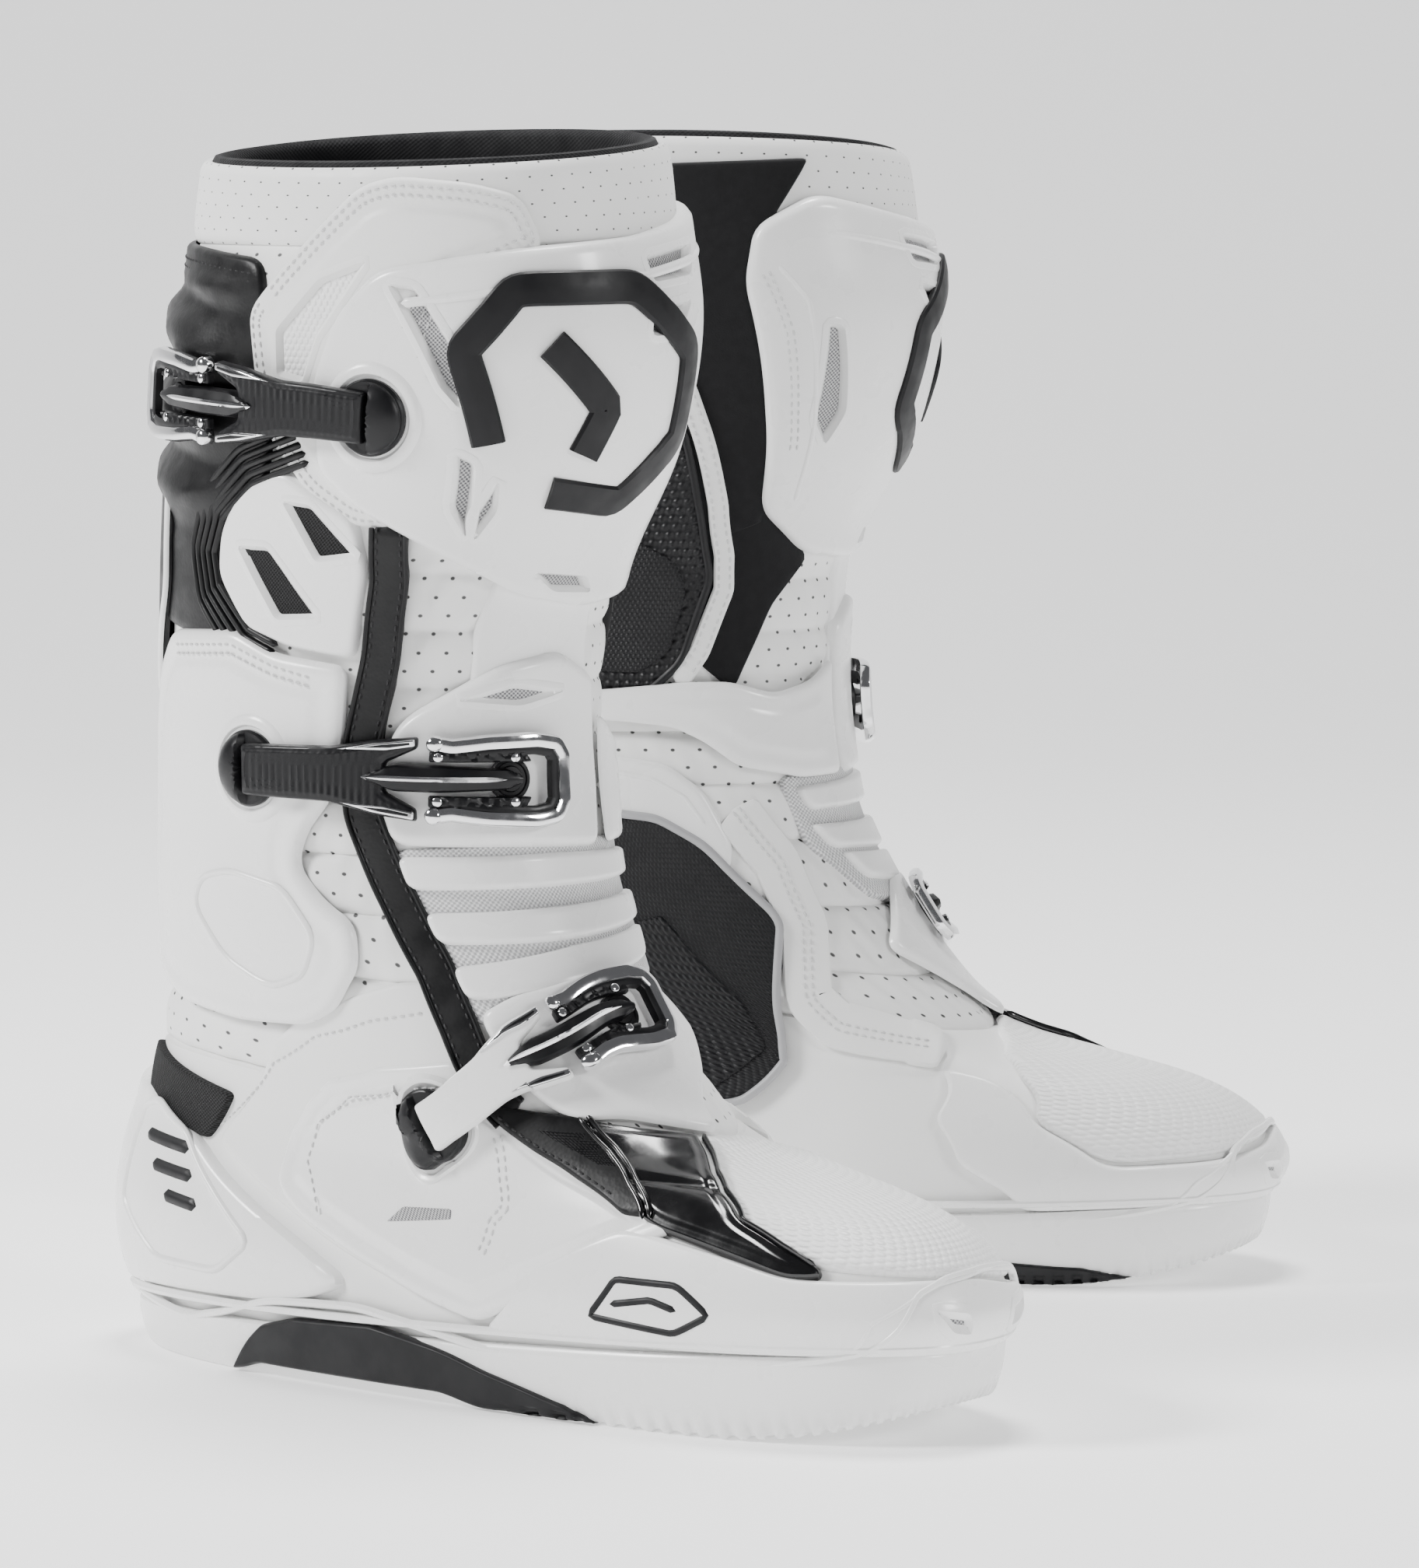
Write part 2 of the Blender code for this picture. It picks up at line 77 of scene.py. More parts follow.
# ------------------------------------------------------------------ body of the boot, mm
BOOT_GAP, STAGGER, TOE_OUT, Y_CENTRE = 240.0, 30.0, 10.0, 54.66
SHARP_ANGLE = 38.0

# height behind, back, height in front, front, widest point, outer and inner half width,
# offset across, roundness in front and behind
LOOPS = np.array([
    [12, -98, 26, 214, 100, 50, 50, 0, 2.3, 2.9],
    [30, -107, 40, 222, 100, 53, 52, 0, 2.3, 2.9],
    [48, -110, 54, 213, 92, 51, 50, 0, 2.3, 2.9],
    [64, -109, 64, 194, 76, 48, 47, 0, 2.2, 2.7],
    [78, -105, 71, 165, 58, 46, 45, 0, 2.2, 2.5],
    [92, -100, 77, 138, 42, 46, 45, 0, 2.2, 2.4],
    [106, -94, 87, 116, 26, 47, 46, 0, 2.2, 2.3],
    [120, -90, 103, 100, 12, 48, 47, 0, 2.2, 2.3],
    [136, -88, 126, 84, 0, 49, 48, 0, 2.2, 2.3],
    [156, -87, 154, 69, -8, 50, 49, 0, 2.2, 2.3],
    [180, -87, 181, 63, -10, 51, 50, 0, 2.2, 2.2],
    [220, -86, 220, 61, -10, 52, 51, 0, 2.2, 2.2],
    [260, -84, 260, 66, -6, 55, 54, 0, 2.2, 2.2],
    [300, -80, 300, 86, 3, 59, 58, 0, 2.2, 2.2],
    [340, -75, 340, 94, 8, 61, 60, 0, 2.2, 2.2],
    [370, -71, 370, 89, 10, 61, 60, 0, 2.2, 2.2],
    [402, -67, 402, 85, 12, 61, 60, 0, 2.2, 2.2]], float)
KNOTS = LOOPS[:, 0]


def hermite(t, values):
    """Cubic Hermite curve through the loop table, with central differences as its slopes."""
    slope = np.gradient(values, KNOTS)
    i = np.clip(np.searchsorted(KNOTS, t, side="right") - 1, 0, len(KNOTS) - 2)
    h = KNOTS[i + 1] - KNOTS[i]
    s = (t - KNOTS[i]) / h
    a = (1 + 2 * s) * (1 - s) ** 2 * values[i] + s * (1 - s) ** 2 * h * slope[i]
    return a + s * s * (3 - 2 * s) * values[i + 1] + s * s * (s - 1) * h * slope[i + 1]


def body(angle, t):
    """Point of the body: a superellipse in x and f at height t, raised towards the toe."""
    angle, t = np.broadcast_arrays(np.asarray(angle, float), np.asarray(t, float))
    back, z_front, front, wide, outer, inner, shift, n_front, n_back = (
        hermite(t, LOOPS[:, i]) for i in range(1, 10))
    c, s = np.cos(np.radians(angle)), np.sin(np.radians(angle))
    n = np.where(c >= 0, n_front, n_back)
    k = (np.abs(c) ** n + np.abs(s) ** n) ** (-1 / n)
    c, s = c * k, s * k
    f = wide + np.where(c >= 0, (front - wide) * c, (wide - back) * c)
    x = shift + np.where(s >= 0, outer, inner) * s
    r = np.clip((f - back) / (front - back), 0, 1)
    return np.stack([x, f, t + (z_front - t) * r ** 1.5], -1)


def slopes(angle, t):
    """Change of the body point per degree and per millimetre of height."""
    e = 0.05
    across = (body(np.asarray(angle) + e, t) - body(np.asarray(angle) - e, t)) / (2 * e)
    along = (body(angle, np.asarray(t) + e) - body(angle, np.asarray(t) - e)) / (2 * e)
    return across, along


def surface(angle, t, offset=0.0):
    """Body point moved outwards along its normal."""
    across, along = slopes(angle, t)
    normal = np.cross(along, across)
    normal /= np.linalg.norm(normal, axis=-1, keepdims=True)
    return body(angle, t) + normal * np.asarray(offset, float)[..., None]


def world(points, side):
    """Local millimetres to metres in the shared frame; the left boot is mirrored."""
    c, s = math.cos(math.radians(TOE_OUT)), math.sin(math.radians(TOE_OUT))
    x = points[..., 0] * c + points[..., 1] * s
    f = points[..., 1] * c - points[..., 0] * s
    sign = 1 if side == "left" else -1
    return np.stack([sign * (BOOT_GAP / 2 + x), Y_CENTRE - f + sign * STAGGER / 2, points[..., 2]], -1) * MM


def ramp(x, low, high):
    """Smooth step from 0 at low to 1 at high."""
    s = np.clip((x - low) / (high - low), 0, 1)
    return s * s * (3 - 2 * s)


def round_edge(d, radius):
    """Quarter circle rising from 0 at the border to 1 at radius."""
    s = np.clip(d / radius, 0, 1)
    return np.sqrt(1 - (1 - s) ** 2)


# ------------------------------------------------------------------ courses and meshes
class Course:
    """Line over a surface: s along it and w across it, both in millimetres."""

    def __init__(self, base, points, blur=8, closed=False, height=0.0, samples=241):
        u, v = np.array(points + points[:1] if closed else points, float).T
        share = np.linspace(0, len(u) - 1, samples)
        self.u, self.v = np.interp(share, range(len(u)), u), np.interp(share, range(len(u)), v)
        self.base, self.closed, self.height = base, closed, height
        for _ in range(blur):
            for line in (self.u, self.v):
                if closed:
                    ring = line[:-1].copy()
                    line[:-1] = (np.roll(ring, 1) + np.roll(ring, -1) + 2 * ring) / 4
                    line[-1] = line[0]
                else:
                    line[1:-1] = (line[:-2] + line[2:] + 2 * line[1:-1]) / 4
        p = base(self.u, self.v, np.full(samples, height))
        self.s = np.concatenate([[0], np.cumsum(np.linalg.norm(np.diff(p, axis=0), axis=1))])
        self.length = self.s[-1]

    def at(self, s):
        """Surface coordinates at distance s."""
        if self.closed:
            s = np.mod(s, self.length)
        return np.interp(s, self.s, self.u), np.interp(s, self.s, self.v)

    def shift(self, s, w):
        """Surface coordinates at distance s, moved w sideways."""
        s, w = np.broadcast_arrays(np.asarray(s, float), np.asarray(w, float))
        u, v = self.at(s)
        held = s if self.closed else np.clip(s, 0, self.length)
        over = s - held
        e, h = 0.05, np.full(s.shape, self.height)
        pu = (self.base(u + e, v, h) - self.base(u - e, v, h)) / (2 * e)
        pv = (self.base(u, v + e, h) - self.base(u, v - e, h)) / (2 * e)
        (u1, v1), (u0, v0) = self.at(held + 1), self.at(held - 1)
        run = pu * (u1 - u0)[..., None] + pv * (v1 - v0)[..., None]
        run /= np.linalg.norm(run, axis=-1, keepdims=True)
        normal = np.cross(pv, pu)
        normal /= np.linalg.norm(normal, axis=-1, keepdims=True)
        move = np.cross(normal, run) * w[..., None] + run * over[..., None]
        aa, ab, bb = (pu * pu).sum(-1), (pu * pv).sum(-1), (pv * pv).sum(-1)
        ma, mt = (pu * move).sum(-1), (pv * move).sum(-1)
        det = aa * bb - ab * ab
        return u + (ma * bb - mt * ab) / det, v + (mt * aa - ma * ab) / det

    def place(self, s, w, h):
        """Point at distance s, w sideways and h above the body."""
        return self.base(*self.shift(s, w), np.asarray(h, float))

    def inward(self):
        """Sign of w that leads into a closed course."""
        s = np.linspace(0, self.length, 120, endpoint=False)
        area = [abs((u * np.roll(v, -1) - np.roll(u, -1) * v).sum()) for u, v in (self.at(s),
                self.shift(s, 1.0))]
        return 1.0 if area[1] < area[0] else -1.0


def grid_faces(rows, cols, wrap_rows=False, wrap_cols=False):
    """Corner numbers of the cells of a grid, wrapped round where asked."""
    i, j = np.meshgrid(np.arange(rows - (not wrap_rows)), np.arange(cols - (not wrap_cols)), indexing="ij")
    i1, j1 = (i + 1) % rows, (j + 1) % cols
    return np.stack([i * cols + j, i1 * cols + j, i1 * cols + j1, i * cols + j1], -1).reshape(-1, 4)


def outward(verts, faces, uvs):
    """The same closed mesh with its faces turned outwards, judged by its volume."""
    a, b, c, d = (verts[faces[:, i]] for i in range(4))
    volume = (a * np.cross(b, c)).sum() + (a * np.cross(c, d)).sum()
    if volume < 0:
        return verts, faces[:, ::-1], uvs[:, ::-1]
    return verts, faces, uvs


def skin(points, uv, wrap_cols=True):
    """Closed mesh of a grid of points; uv has one more row and column where the grid wraps."""
    rows, cols = points.shape[:2]
    faces = grid_faces(rows, cols, wrap_cols=wrap_cols)
    uv_cols = uv.shape[1]
    i, j = np.meshgrid(np.arange(rows - 1), np.arange(cols if wrap_cols else cols - 1), indexing="ij")
    cell = np.stack([i * uv_cols + j, (i + 1) * uv_cols + j, (i + 1) * uv_cols + j + 1, i * uv_cols + j
                     + 1], -1)
    return outward(points.reshape(-1, 3), faces, uv.reshape(-1, 2)[cell.reshape(-1, 4)])


def merged(meshes):
    """Several meshes as one."""
    verts, faces, uvs, count = [], [], [], 0
    for v, f, t in meshes:
        verts.append(v)
        faces.append(f + count)
        uvs.append(t)
        count += len(v)
    return np.concatenate(verts), np.concatenate(faces), np.concatenate(uvs)


def rounded_loop(points, radius):
    """Closed outline whose corners are quadratic arcs; also where each corner lies in it."""
    pieces, corners, count = [], [], len(points)
    w = np.linspace(0, 1, 9)[:, None]
    for i in range(count):
        p, before, after = points[i], points[i - 1], points[(i + 1) % count]
        cut = [min(0.5, radius / np.linalg.norm(q - p)) for q in (before, after)]
        a, b = p + (before - p) * cut[0] * 0.98, p + (after - p) * cut[1] * 0.98
        corners.append(len(pieces) * 9 + 4)
        pieces.append(a * (1 - w) ** 2 + p * 2 * w * (1 - w) + b * w ** 2)
    return np.concatenate(pieces), corners


def even_points(chain, share):
    """Points of a chain at the given shares of its length."""
    step = np.concatenate([[0], np.cumsum(np.linalg.norm(np.diff(chain, axis=0), axis=1))])
    return np.stack([np.interp(share * step[-1], step, chain[:, i]) for i in (0, 1)], -1)


def shares(length, fine, edge):
    """Shares from 0 to 1, close together near both ends so that a rounded edge is smooth."""
    near = np.array([0, 0.12, 0.35, 0.7, 1.15]) * edge / length
    near = near[near < 0.35]
    middle = np.linspace(near[-1], 1 - near[-1], max(3, int(length / fine)))
    return np.concatenate([near[:-1], middle, 1 - near[:-1][::-1]])


def reach(points, loop):
    """Distance of every point from a closed loop of straight runs."""
    flat = points.reshape(-1, 3).astype(np.float32)
    a = loop.astype(np.float32)
    run = np.roll(a, -1, axis=0) - a
    size = (run * run).sum(-1) + 1e-9
    best = np.full(len(flat), 1e9, np.float32)
    for start, piece, square in zip(a, run, size):
        away = flat - start
        share = np.clip(away @ piece / square, 0, 1)
        away -= share[:, None] * piece
        np.minimum(best, (away * away).sum(-1), out=best)
    return np.sqrt(best).astype(float).reshape(points.shape[:-1])


def within(u, v, loop):
    """Even-odd test of points against a closed outline."""
    odd = np.zeros(u.shape, bool)
    for (u0, v0), (u1, v1) in zip(loop, np.roll(loop, -1, axis=0)):
        if v0 != v1:
            odd ^= ((v0 > v) != (v1 > v)) & (u < u0 + (v - v0) * (u1 - u0) / (v1 - v0))
    return odd


def smooth_loop(place, outline, radius):
    """Outline in surface coordinates with rounded corners, and its scale along u."""
    points = np.array(outline, float)
    mid, e = points.mean(0), 0.5
    ends = place(np.array([mid[0] - e, mid[0] + e]), np.full(2, mid[1]), np.zeros(2))
    scale = np.array([np.linalg.norm(ends[1] - ends[0]), 1.0])
    loop, corners = rounded_loop(points * scale, radius)
    return loop / scale, corners, scale


def slab(place, outline, corners, low, high, radius=4.0, edge=2.0, fine=2.0, relief=None):
    """Raised plate over an outline, as a Coons patch between the four chains of its border.

    The top rises as a quarter circle within edge of the border.  relief(u, v, d) adds to it,
    d being the distance inwards; the underside stays at low.
    """
    loop, where, scale = smooth_loop(place, outline, radius)
    loop = loop * scale
    marks = [where[i] for i in corners]
    ring = np.concatenate([loop, loop])
    chains = []
    for a, b in zip(marks, marks[1:] + marks[:1]):
        chains.append(ring[a:(b if b > a else b + len(loop)) + 1])
    long = [np.linalg.norm(np.diff(c, axis=0), axis=1).sum() for c in chains]
    s = shares(max(long[0], long[2]), fine, edge)
    r = shares(max(long[1], long[3]), fine, edge)
    c0, c1 = even_points(chains[0], s)[:, None], even_points(chains[2][::-1], s)[:, None]
    d1, d0 = even_points(chains[1], r)[None], even_points(chains[3][::-1], r)[None]
    ss, rr = s[:, None, None], r[None, :, None]
    flat = ((1 - rr) * c0 + rr * c1 + (1 - ss) * d0 + ss * d1
            - (1 - ss) * (1 - rr) * c0[0, 0] - ss * (1 - rr) * c0[-1, 0]
            - (1 - ss) * rr * c1[0, 0] - ss * rr * c1[-1, 0]) / scale
    u, v = flat[..., 0], flat[..., 1]
    base = place(u, v, np.zeros_like(u))
    border = even_points(np.concatenate([loop, loop[:1]]), np.linspace(0, 1, 300)) / scale
    d = reach(base, place(border[:, 0], border[:, 1], np.zeros(len(border))))
    d[0], d[-1], d[:, 0], d[:, -1] = 0, 0, 0, 0
    height = low + (high - low) * round_edge(d, edge)
    if relief is not None:
        height = height + relief(u, v, d) * ramp(d, 0, edge)
    top, under = place(u, v, height), place(u, v, np.full_like(u, low))
    rows, cols = u.shape
    index = np.arange(rows * cols).reshape(rows, cols)
    inner = np.zeros((rows, cols), bool)
    inner[1:-1, 1:-1] = True
    lower = index.copy()
    lower[inner] = rows * cols + np.arange(inner.sum())
    cells = grid_faces(rows, cols)
    faces = np.concatenate([cells, lower.ravel()[cells][:, ::-1]])
    verts = np.concatenate([top.reshape(-1, 3), under[inner]])
    uv = np.stack([u * scale[0], v], -1).reshape(-1, 2)
    return outward(verts, faces, np.concatenate([uv[cells], uv[cells][:, ::-1]]))


def carried(course, profile, start=None, end=None, step=1.6, taper=0.0):
    """Closed profile of (across, height) points carried along a course.

    An open run ends in a point or, with taper in millimetres, narrows towards it.
    """
    across, height = np.array(profile, float).T
    if course.closed:
        count = max(12, int(course.length / step))
        s = np.arange(count) * course.length / count
        points = course.place(s[:, None], across[None], np.broadcast_to(height, (count, len(height))))
        faces = grid_faces(count, len(profile), True, True)
        row, col = np.meshgrid(np.arange(count), np.arange(len(profile)), indexing="ij")
        corner = np.stack([row, col], -1).reshape(-1, 1, 2) + np.array([[0, 0], [1, 0], [1, 1], [0, 1]])
        return outward(points.reshape(-1, 3), faces, corner * np.array([step, 1.0]))
    first, last = 0.0 if start is None else start, course.length if end is None else end
    count = max(3, int((last - first) / step))
    s = np.linspace(first, last, count)
    size = np.ones(count)
    if taper:
        size = round_edge(np.minimum(s - first, last - s), taper)
    s, size = np.concatenate([s[:1], s, s[-1:]]), np.concatenate([[0], np.maximum(size, 0.05), [0]])
    ca, ch = across.mean(), height.mean()
    points = course.place(s[:, None], ca + (across - ca)[None] * size[:, None],
                          ch + (height - ch)[None] * size[:, None])
    uv = np.stack(np.meshgrid(s, np.arange(len(profile) + 1.0), indexing="ij"), -1)
    return skin(points, uv)


def round_profile(radius, centre, sides=10):
    """Circle of the given radius at a height above the body."""
    a = np.arange(sides) * 2 * np.pi / sides
    return [(radius * math.cos(q), centre + radius * math.sin(q)) for q in a]


def strip_profile(half, low, high, crown=0.0):
    """Flat strip with soft edges, its middle raised by crown."""
    lip = min(0.6, (high - low) * 0.45)
    return [(-half, low), (-half, high - lip), (-half + lip, high), (-half * 0.4, high + crown * 0.8),
            (half * 0.4, high + crown * 0.8), (half - lip, high), (half, high - lip), (half, low)]


def disc(place, s, w, profile, sides=40):
    """Turned piece: a profile of (radius, height) points spun about a point of the surface."""
    radius, height = np.array(profile, float).T
    a = np.arange(sides) * 2 * np.pi / sides
    points = place(s + radius[:, None] * np.cos(a), w + radius[:, None] * np.sin(a),
                   np.broadcast_to(height[:, None], (len(radius), sides)))
    uv = np.stack(np.meshgrid(np.cumsum(radius * 0 + 1.0), np.arange(sides + 1.0), indexing="ij"), -1)
    return skin(points, uv)


def stitches(course, across, height, pitch=3.1, long=2.2, thick=0.42, start=1.5, end=None):
    """Row of thread stitches: small spindles along a course, six-sided and five rings long."""
    last = (course.length if end is None else end) - 1.5
    count = max(1, int((last - start) / pitch))
    s = start + np.arange(count) * pitch
    ring = np.arange(6) * np.pi / 3
    rows = np.array([-1.0, -0.8, 0.0, 0.8, 1.0])
    size = np.array([0.02, 0.75, 1.0, 0.75, 0.02])
    sink = np.array([-0.55, -0.12, 0.12, -0.12, -0.55])
    shape = (count, 5, 6)
    ss = np.broadcast_to(s[:, None, None] + rows[None, :, None] * long / 2, shape)
    ww = np.broadcast_to(across + thick * size[None, :, None] * np.cos(ring), shape)
    hh = np.broadcast_to(height + sink[None, :, None] + thick * size[None, :, None] * np.sin(ring), shape)
    points = course.place(ss, ww, hh)
    one = grid_faces(5, 6, False, True)
    faces = (one[None] + (np.arange(count) * 30)[:, None, None]).reshape(-1, 4)
    return outward(points.reshape(-1, 3), faces, np.zeros((len(faces), 4, 2)))


def band(rows, steps, relief=None, bottom=False, tilt=0.0):
    """Shell right round the body.

    rows lists (height, offset) pairs from the outer bottom edge over the top to the inner bottom
    edge.  tilt lowers the top rows on the outer side; bottom draws the first and last rows
    together along the middle line, which makes a closed sole.
    """
    t, h = np.array(rows, float).T
    angle = np.arange(steps) * 360.0 / steps
    tt, aa = np.meshgrid(t, angle, indexing="ij")
    hh = np.broadcast_to(h[:, None], tt.shape).copy()
    tt = tt - tilt * ramp(tt, 360, 391) * np.sin(np.radians(aa))
    if relief is not None:
        hh = hh + relief(aa, tt) * (hh > h.min() + 0.1)
    points = surface(aa, tt, hh)
    uv_a, uv_s = np.meshgrid(np.arange(steps + 1) * 360.0 / steps * 0.92, t, indexing="xy")
    uv = np.stack([uv_a, uv_s], -1)
    if bottom:
        middle = points * [0, 1, 1] + hermite(points[..., 2] * 0 + 30, LOOPS[:, 8])[..., None] * [1, 0, 0]
        points = np.concatenate([middle[:1], points, middle[-1:]])
        uv = np.concatenate([uv[:1], uv, uv[-1:]])
        return skin(points, uv)
    faces = grid_faces(len(t), steps, True, True)
    row, col = np.meshgrid(np.arange(len(t)), np.arange(steps), indexing="ij")
    after = (row + 1) % len(t)
    corner = np.stack([row * (steps + 1) + col, after * (steps + 1) + col,
                       after * (steps + 1) + col + 1, row * (steps + 1) + col + 1], -1).reshape(-1, 4)
    return outward(points.reshape(-1, 3), faces, uv.reshape(-1, 2)[corner])


def hollow(place, outline, depth, radius=2.0, soft=1.0):
    """Relief that sinks by depth inside an outline."""
    loop = smooth_loop(place, outline, radius)[0]
    border = place(loop[:, 0], loop[:, 1], np.zeros(len(loop)))

    def relief(u, v, d):
        away = reach(place(u, v, np.zeros_like(u)), border)
        return np.where(within(u, v, loop), -depth * ramp(away, 0, soft), 0.0)

    return relief


def added(*reliefs):
    """Sum of several reliefs."""
    return lambda u, v, d: sum(relief(u, v, d) for relief in reliefs)


def window(place, outline, top, depth, corners, radius=2.0):
    """Opening in a plate: the lip that slopes into it and the fabric on its floor."""
    course = Course(place, [tuple(p) for p in smooth_loop(place, outline, radius)[0]], 1, True)
    w = course.inward()
    lip = [(-2.3 * w, top - 0.6), (-2.1 * w, top + 0.06), (-1.6 * w, top + 0.2), (-0.1 * w, top + 0.2),
           (0.8 * w, top - depth * 0.45), (1.5 * w, top - depth), (1.4 * w, top - depth - 0.7)]
    floor = slab(place, outline, corners, top - depth - 0.9, top - depth - 0.15, radius, 0.3, 3.0)
    return carried(course, lip, step=1.2), floor


# ------------------------------------------------------------------ making objects
def add_piece(side, name, mesh, finish, slot, body_name, *replaced):
    """Object made of a local mesh; welded, turned outwards and attached to its CAD body."""
    name = side + "_" + name
    verts, faces, uvs = mesh
    verts = world(verts, side)
    if side == "left":
        faces, uvs = faces[:, ::-1], uvs[:, ::-1]
    data = bpy.data.meshes.new(name)
    data.vertices.add(len(verts))
    data.vertices.foreach_set("co", verts.astype(np.float32).ravel())
    data.loops.add(faces.size)
    data.loops.foreach_set("vertex_index", faces.astype(np.int32).ravel())
    data.polygons.add(len(faces))
    data.polygons.foreach_set("loop_start", np.arange(0, faces.size, 4, dtype=np.int32))
    layer = data.uv_layers.new(name="UVMap")
    layer.data.foreach_set("uv", np.ascontiguousarray(uvs).astype(np.float32).ravel())
    data.update(calc_edges=True)
    work = bmesh.new()
    work.from_mesh(data)
    bmesh.ops.remove_doubles(work, verts=work.verts, dist=2e-6)
    work.to_mesh(data)
    work.free()
    data.validate()
    data.shade_smooth()
    data.set_sharp_from_angle(angle=math.radians(SHARP_ANGLE))
    data.materials.append(FINISH[finish])
    item = bpy.data.objects.new(name, data)
    bpy.context.scene.collection.objects.link(item)
    if replaced:
        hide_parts(*[side + "_" + node for node in replaced])
    if body_name == "bend":
        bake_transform(item)
    else:
        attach(item, side + "_" + body_name)
    return item


def add_windows(side, name, windows, top, depth, finish, slot, body_name, radius=2.0):
    """Lips and fabric of every window in a plate, as two pieces."""
    parts = [window(surface, line, top, depth, corners, radius) for line, corners in windows]
    add_piece(side, name + "_lips", merged([lip for lip, _ in parts]), "white_plastic", slot, body_name)
    add_piece(side, name + "_mesh", merged([cloth for _, cloth in parts]), finish, slot, body_name)


# ------------------------------------------------------------------ materials
class Finish:
    """Material under construction: its shader and the bump chain that feeds it."""

    def __init__(self, name, colour, rough, metal=0.0, coat=0.0, sheen=0.0):
        self.material = bpy.data.materials.new(name)
        self.material.use_nodes = True
        self.tree = self.material.node_tree
        self.shader = self.tree.nodes["Principled BSDF"]
        self.colour = (*colour, 1.0)
        self.shader.inputs["Base Color"].default_value = self.colour
        self.shader.inputs["Roughness"].default_value = rough
        self.shader.inputs["Metallic"].default_value = metal
        self.shader.inputs["Coat Weight"].default_value = coat
        self.shader.inputs["Coat Roughness"].default_value = 0.12
        self.shader.inputs["Sheen Weight"].default_value = sheen
        self.shader.inputs["Specular IOR Level"].default_value = 0.3 if max(colour) < 0.1 else 0.5
        self.space = self.node("ShaderNodeTexCoord")
        self.normal = None

    def node(self, kind, **settings):
        made = self.tree.nodes.new(kind)
        for key, value in settings.items():
            setattr(made, key, value)
        return made

    def math(self, operation, first, second=None):
        """Math node on sockets or plain numbers."""
        made = self.node("ShaderNodeMath", operation=operation)
        for slot, value in zip(made.inputs, (first, second)):
            if isinstance(value, (int, float)):
                slot.default_value = value
            elif value is not None:
                self.tree.links.new(value, slot)
        return made.outputs[0]

    def vector(self, operation, first, second=None):
        """Vector math node on sockets or plain triples."""
        made = self.node("ShaderNodeVectorMath", operation=operation)
        for slot, value in zip(made.inputs, (first, second)):
            if isinstance(value, tuple):
                slot.default_value = value
            elif value is not None:
                self.tree.links.new(value, slot)
        return made.outputs["Value" if operation == "LENGTH" else "Vector"]

    def noise(self, scale, detail=4.0):
        made = self.node("ShaderNodeTexNoise")
        made.inputs["Scale"].default_value = scale
        made.inputs["Detail"].default_value = detail
        self.tree.links.new(self.space.outputs["Object"], made.inputs["Vector"])
        return made.outputs["Fac"]

    def pebble(self, scale):
        made = self.node("ShaderNodeTexVoronoi")
        made.inputs["Scale"].default_value = scale
        self.tree.links.new(self.space.outputs["Object"], made.inputs["Vector"])
        return made.outputs["Distance"]

    def dots(self, pitch):
        """Distance from the nearest of a hexagonal set of centres, in pitches, over the UV map."""
        cell = (pitch, pitch * 1.732, 1.0)
        found = []
        for start in ((0.0, 0.0, 0.0), (0.5, 0.5, 0.0)):
            place = self.vector("DIVIDE", self.space.outputs["UV"], cell)
            place = self.vector("FRACTION", self.vector("ADD", place, start))
            place = self.vector("MULTIPLY", self.vector("SUBTRACT", place, (0.5, 0.5, 0.0)),
                                (1.0, 1.732, 0.0))
            found.append(self.vector("LENGTH", place))
        return self.math("MINIMUM", *found)

    def weave(self, pitch):
        """Product of two sine waves over the UV map, between -1 and 1."""
        place = self.vector("MULTIPLY", self.space.outputs["UV"], (6.283 / pitch, 6.283 / pitch, 0.0))
        split = self.node("ShaderNodeSeparateXYZ")
        self.tree.links.new(place, split.inputs[0])
        return self.math("MULTIPLY", self.math("SINE", split.outputs[0]), self.math("SINE", split.outputs[1]))

    def step(self, value, low, high, start=0.0, end=1.0):
        made = self.node("ShaderNodeMapRange", interpolation_type="SMOOTHSTEP")
        self.tree.links.new(value, made.inputs["Value"])
        for key, number in (("From Min", low), ("From Max", high), ("To Min", start), ("To Max", end)):
            made.inputs[key].default_value = number
        return made.outputs["Result"]

    def bump(self, height, strength, distance):
        """Adds a bump to the chain; distance in millimetres."""
        made = self.node("ShaderNodeBump")
        made.inputs["Strength"].default_value = strength
        made.inputs["Distance"].default_value = distance * MM
        self.tree.links.new(height, made.inputs["Height"])
        if self.normal:
            self.tree.links.new(self.normal, made.inputs["Normal"])
        self.normal = made.outputs["Normal"]
        self.tree.links.new(self.normal, self.shader.inputs["Normal"])

    def tint(self, share, colour):
        """Mixes another colour in by share."""
        made = self.node("ShaderNodeMix", data_type="RGBA")
        made.inputs[6].default_value = self.colour
        made.inputs[7].default_value = (*colour, 1.0)
        self.tree.links.new(share, made.inputs[0])
        self.tree.links.new(made.outputs[2], self.shader.inputs["Base Color"])

    def wear(self, scale, low, high):
        """Roughness that wanders between low and high."""
        self.tree.links.new(self.step(self.noise(scale, 3.0), 0.3, 0.7, low, high),
                            self.shader.inputs["Roughness"])


def leather(name, colour, rough, grain, coat=0.0):
    """Leather: pebbled grain, fine creases and a little unevenness of gloss."""
    made = Finish(name, colour, rough, coat=coat)
    made.bump(made.pebble(820.0), grain, 0.12)
    made.bump(made.noise(90.0, 6.0), grain * 0.6, 0.5)
    made.wear(120.0, rough - 0.06, rough + 0.08)
    return made


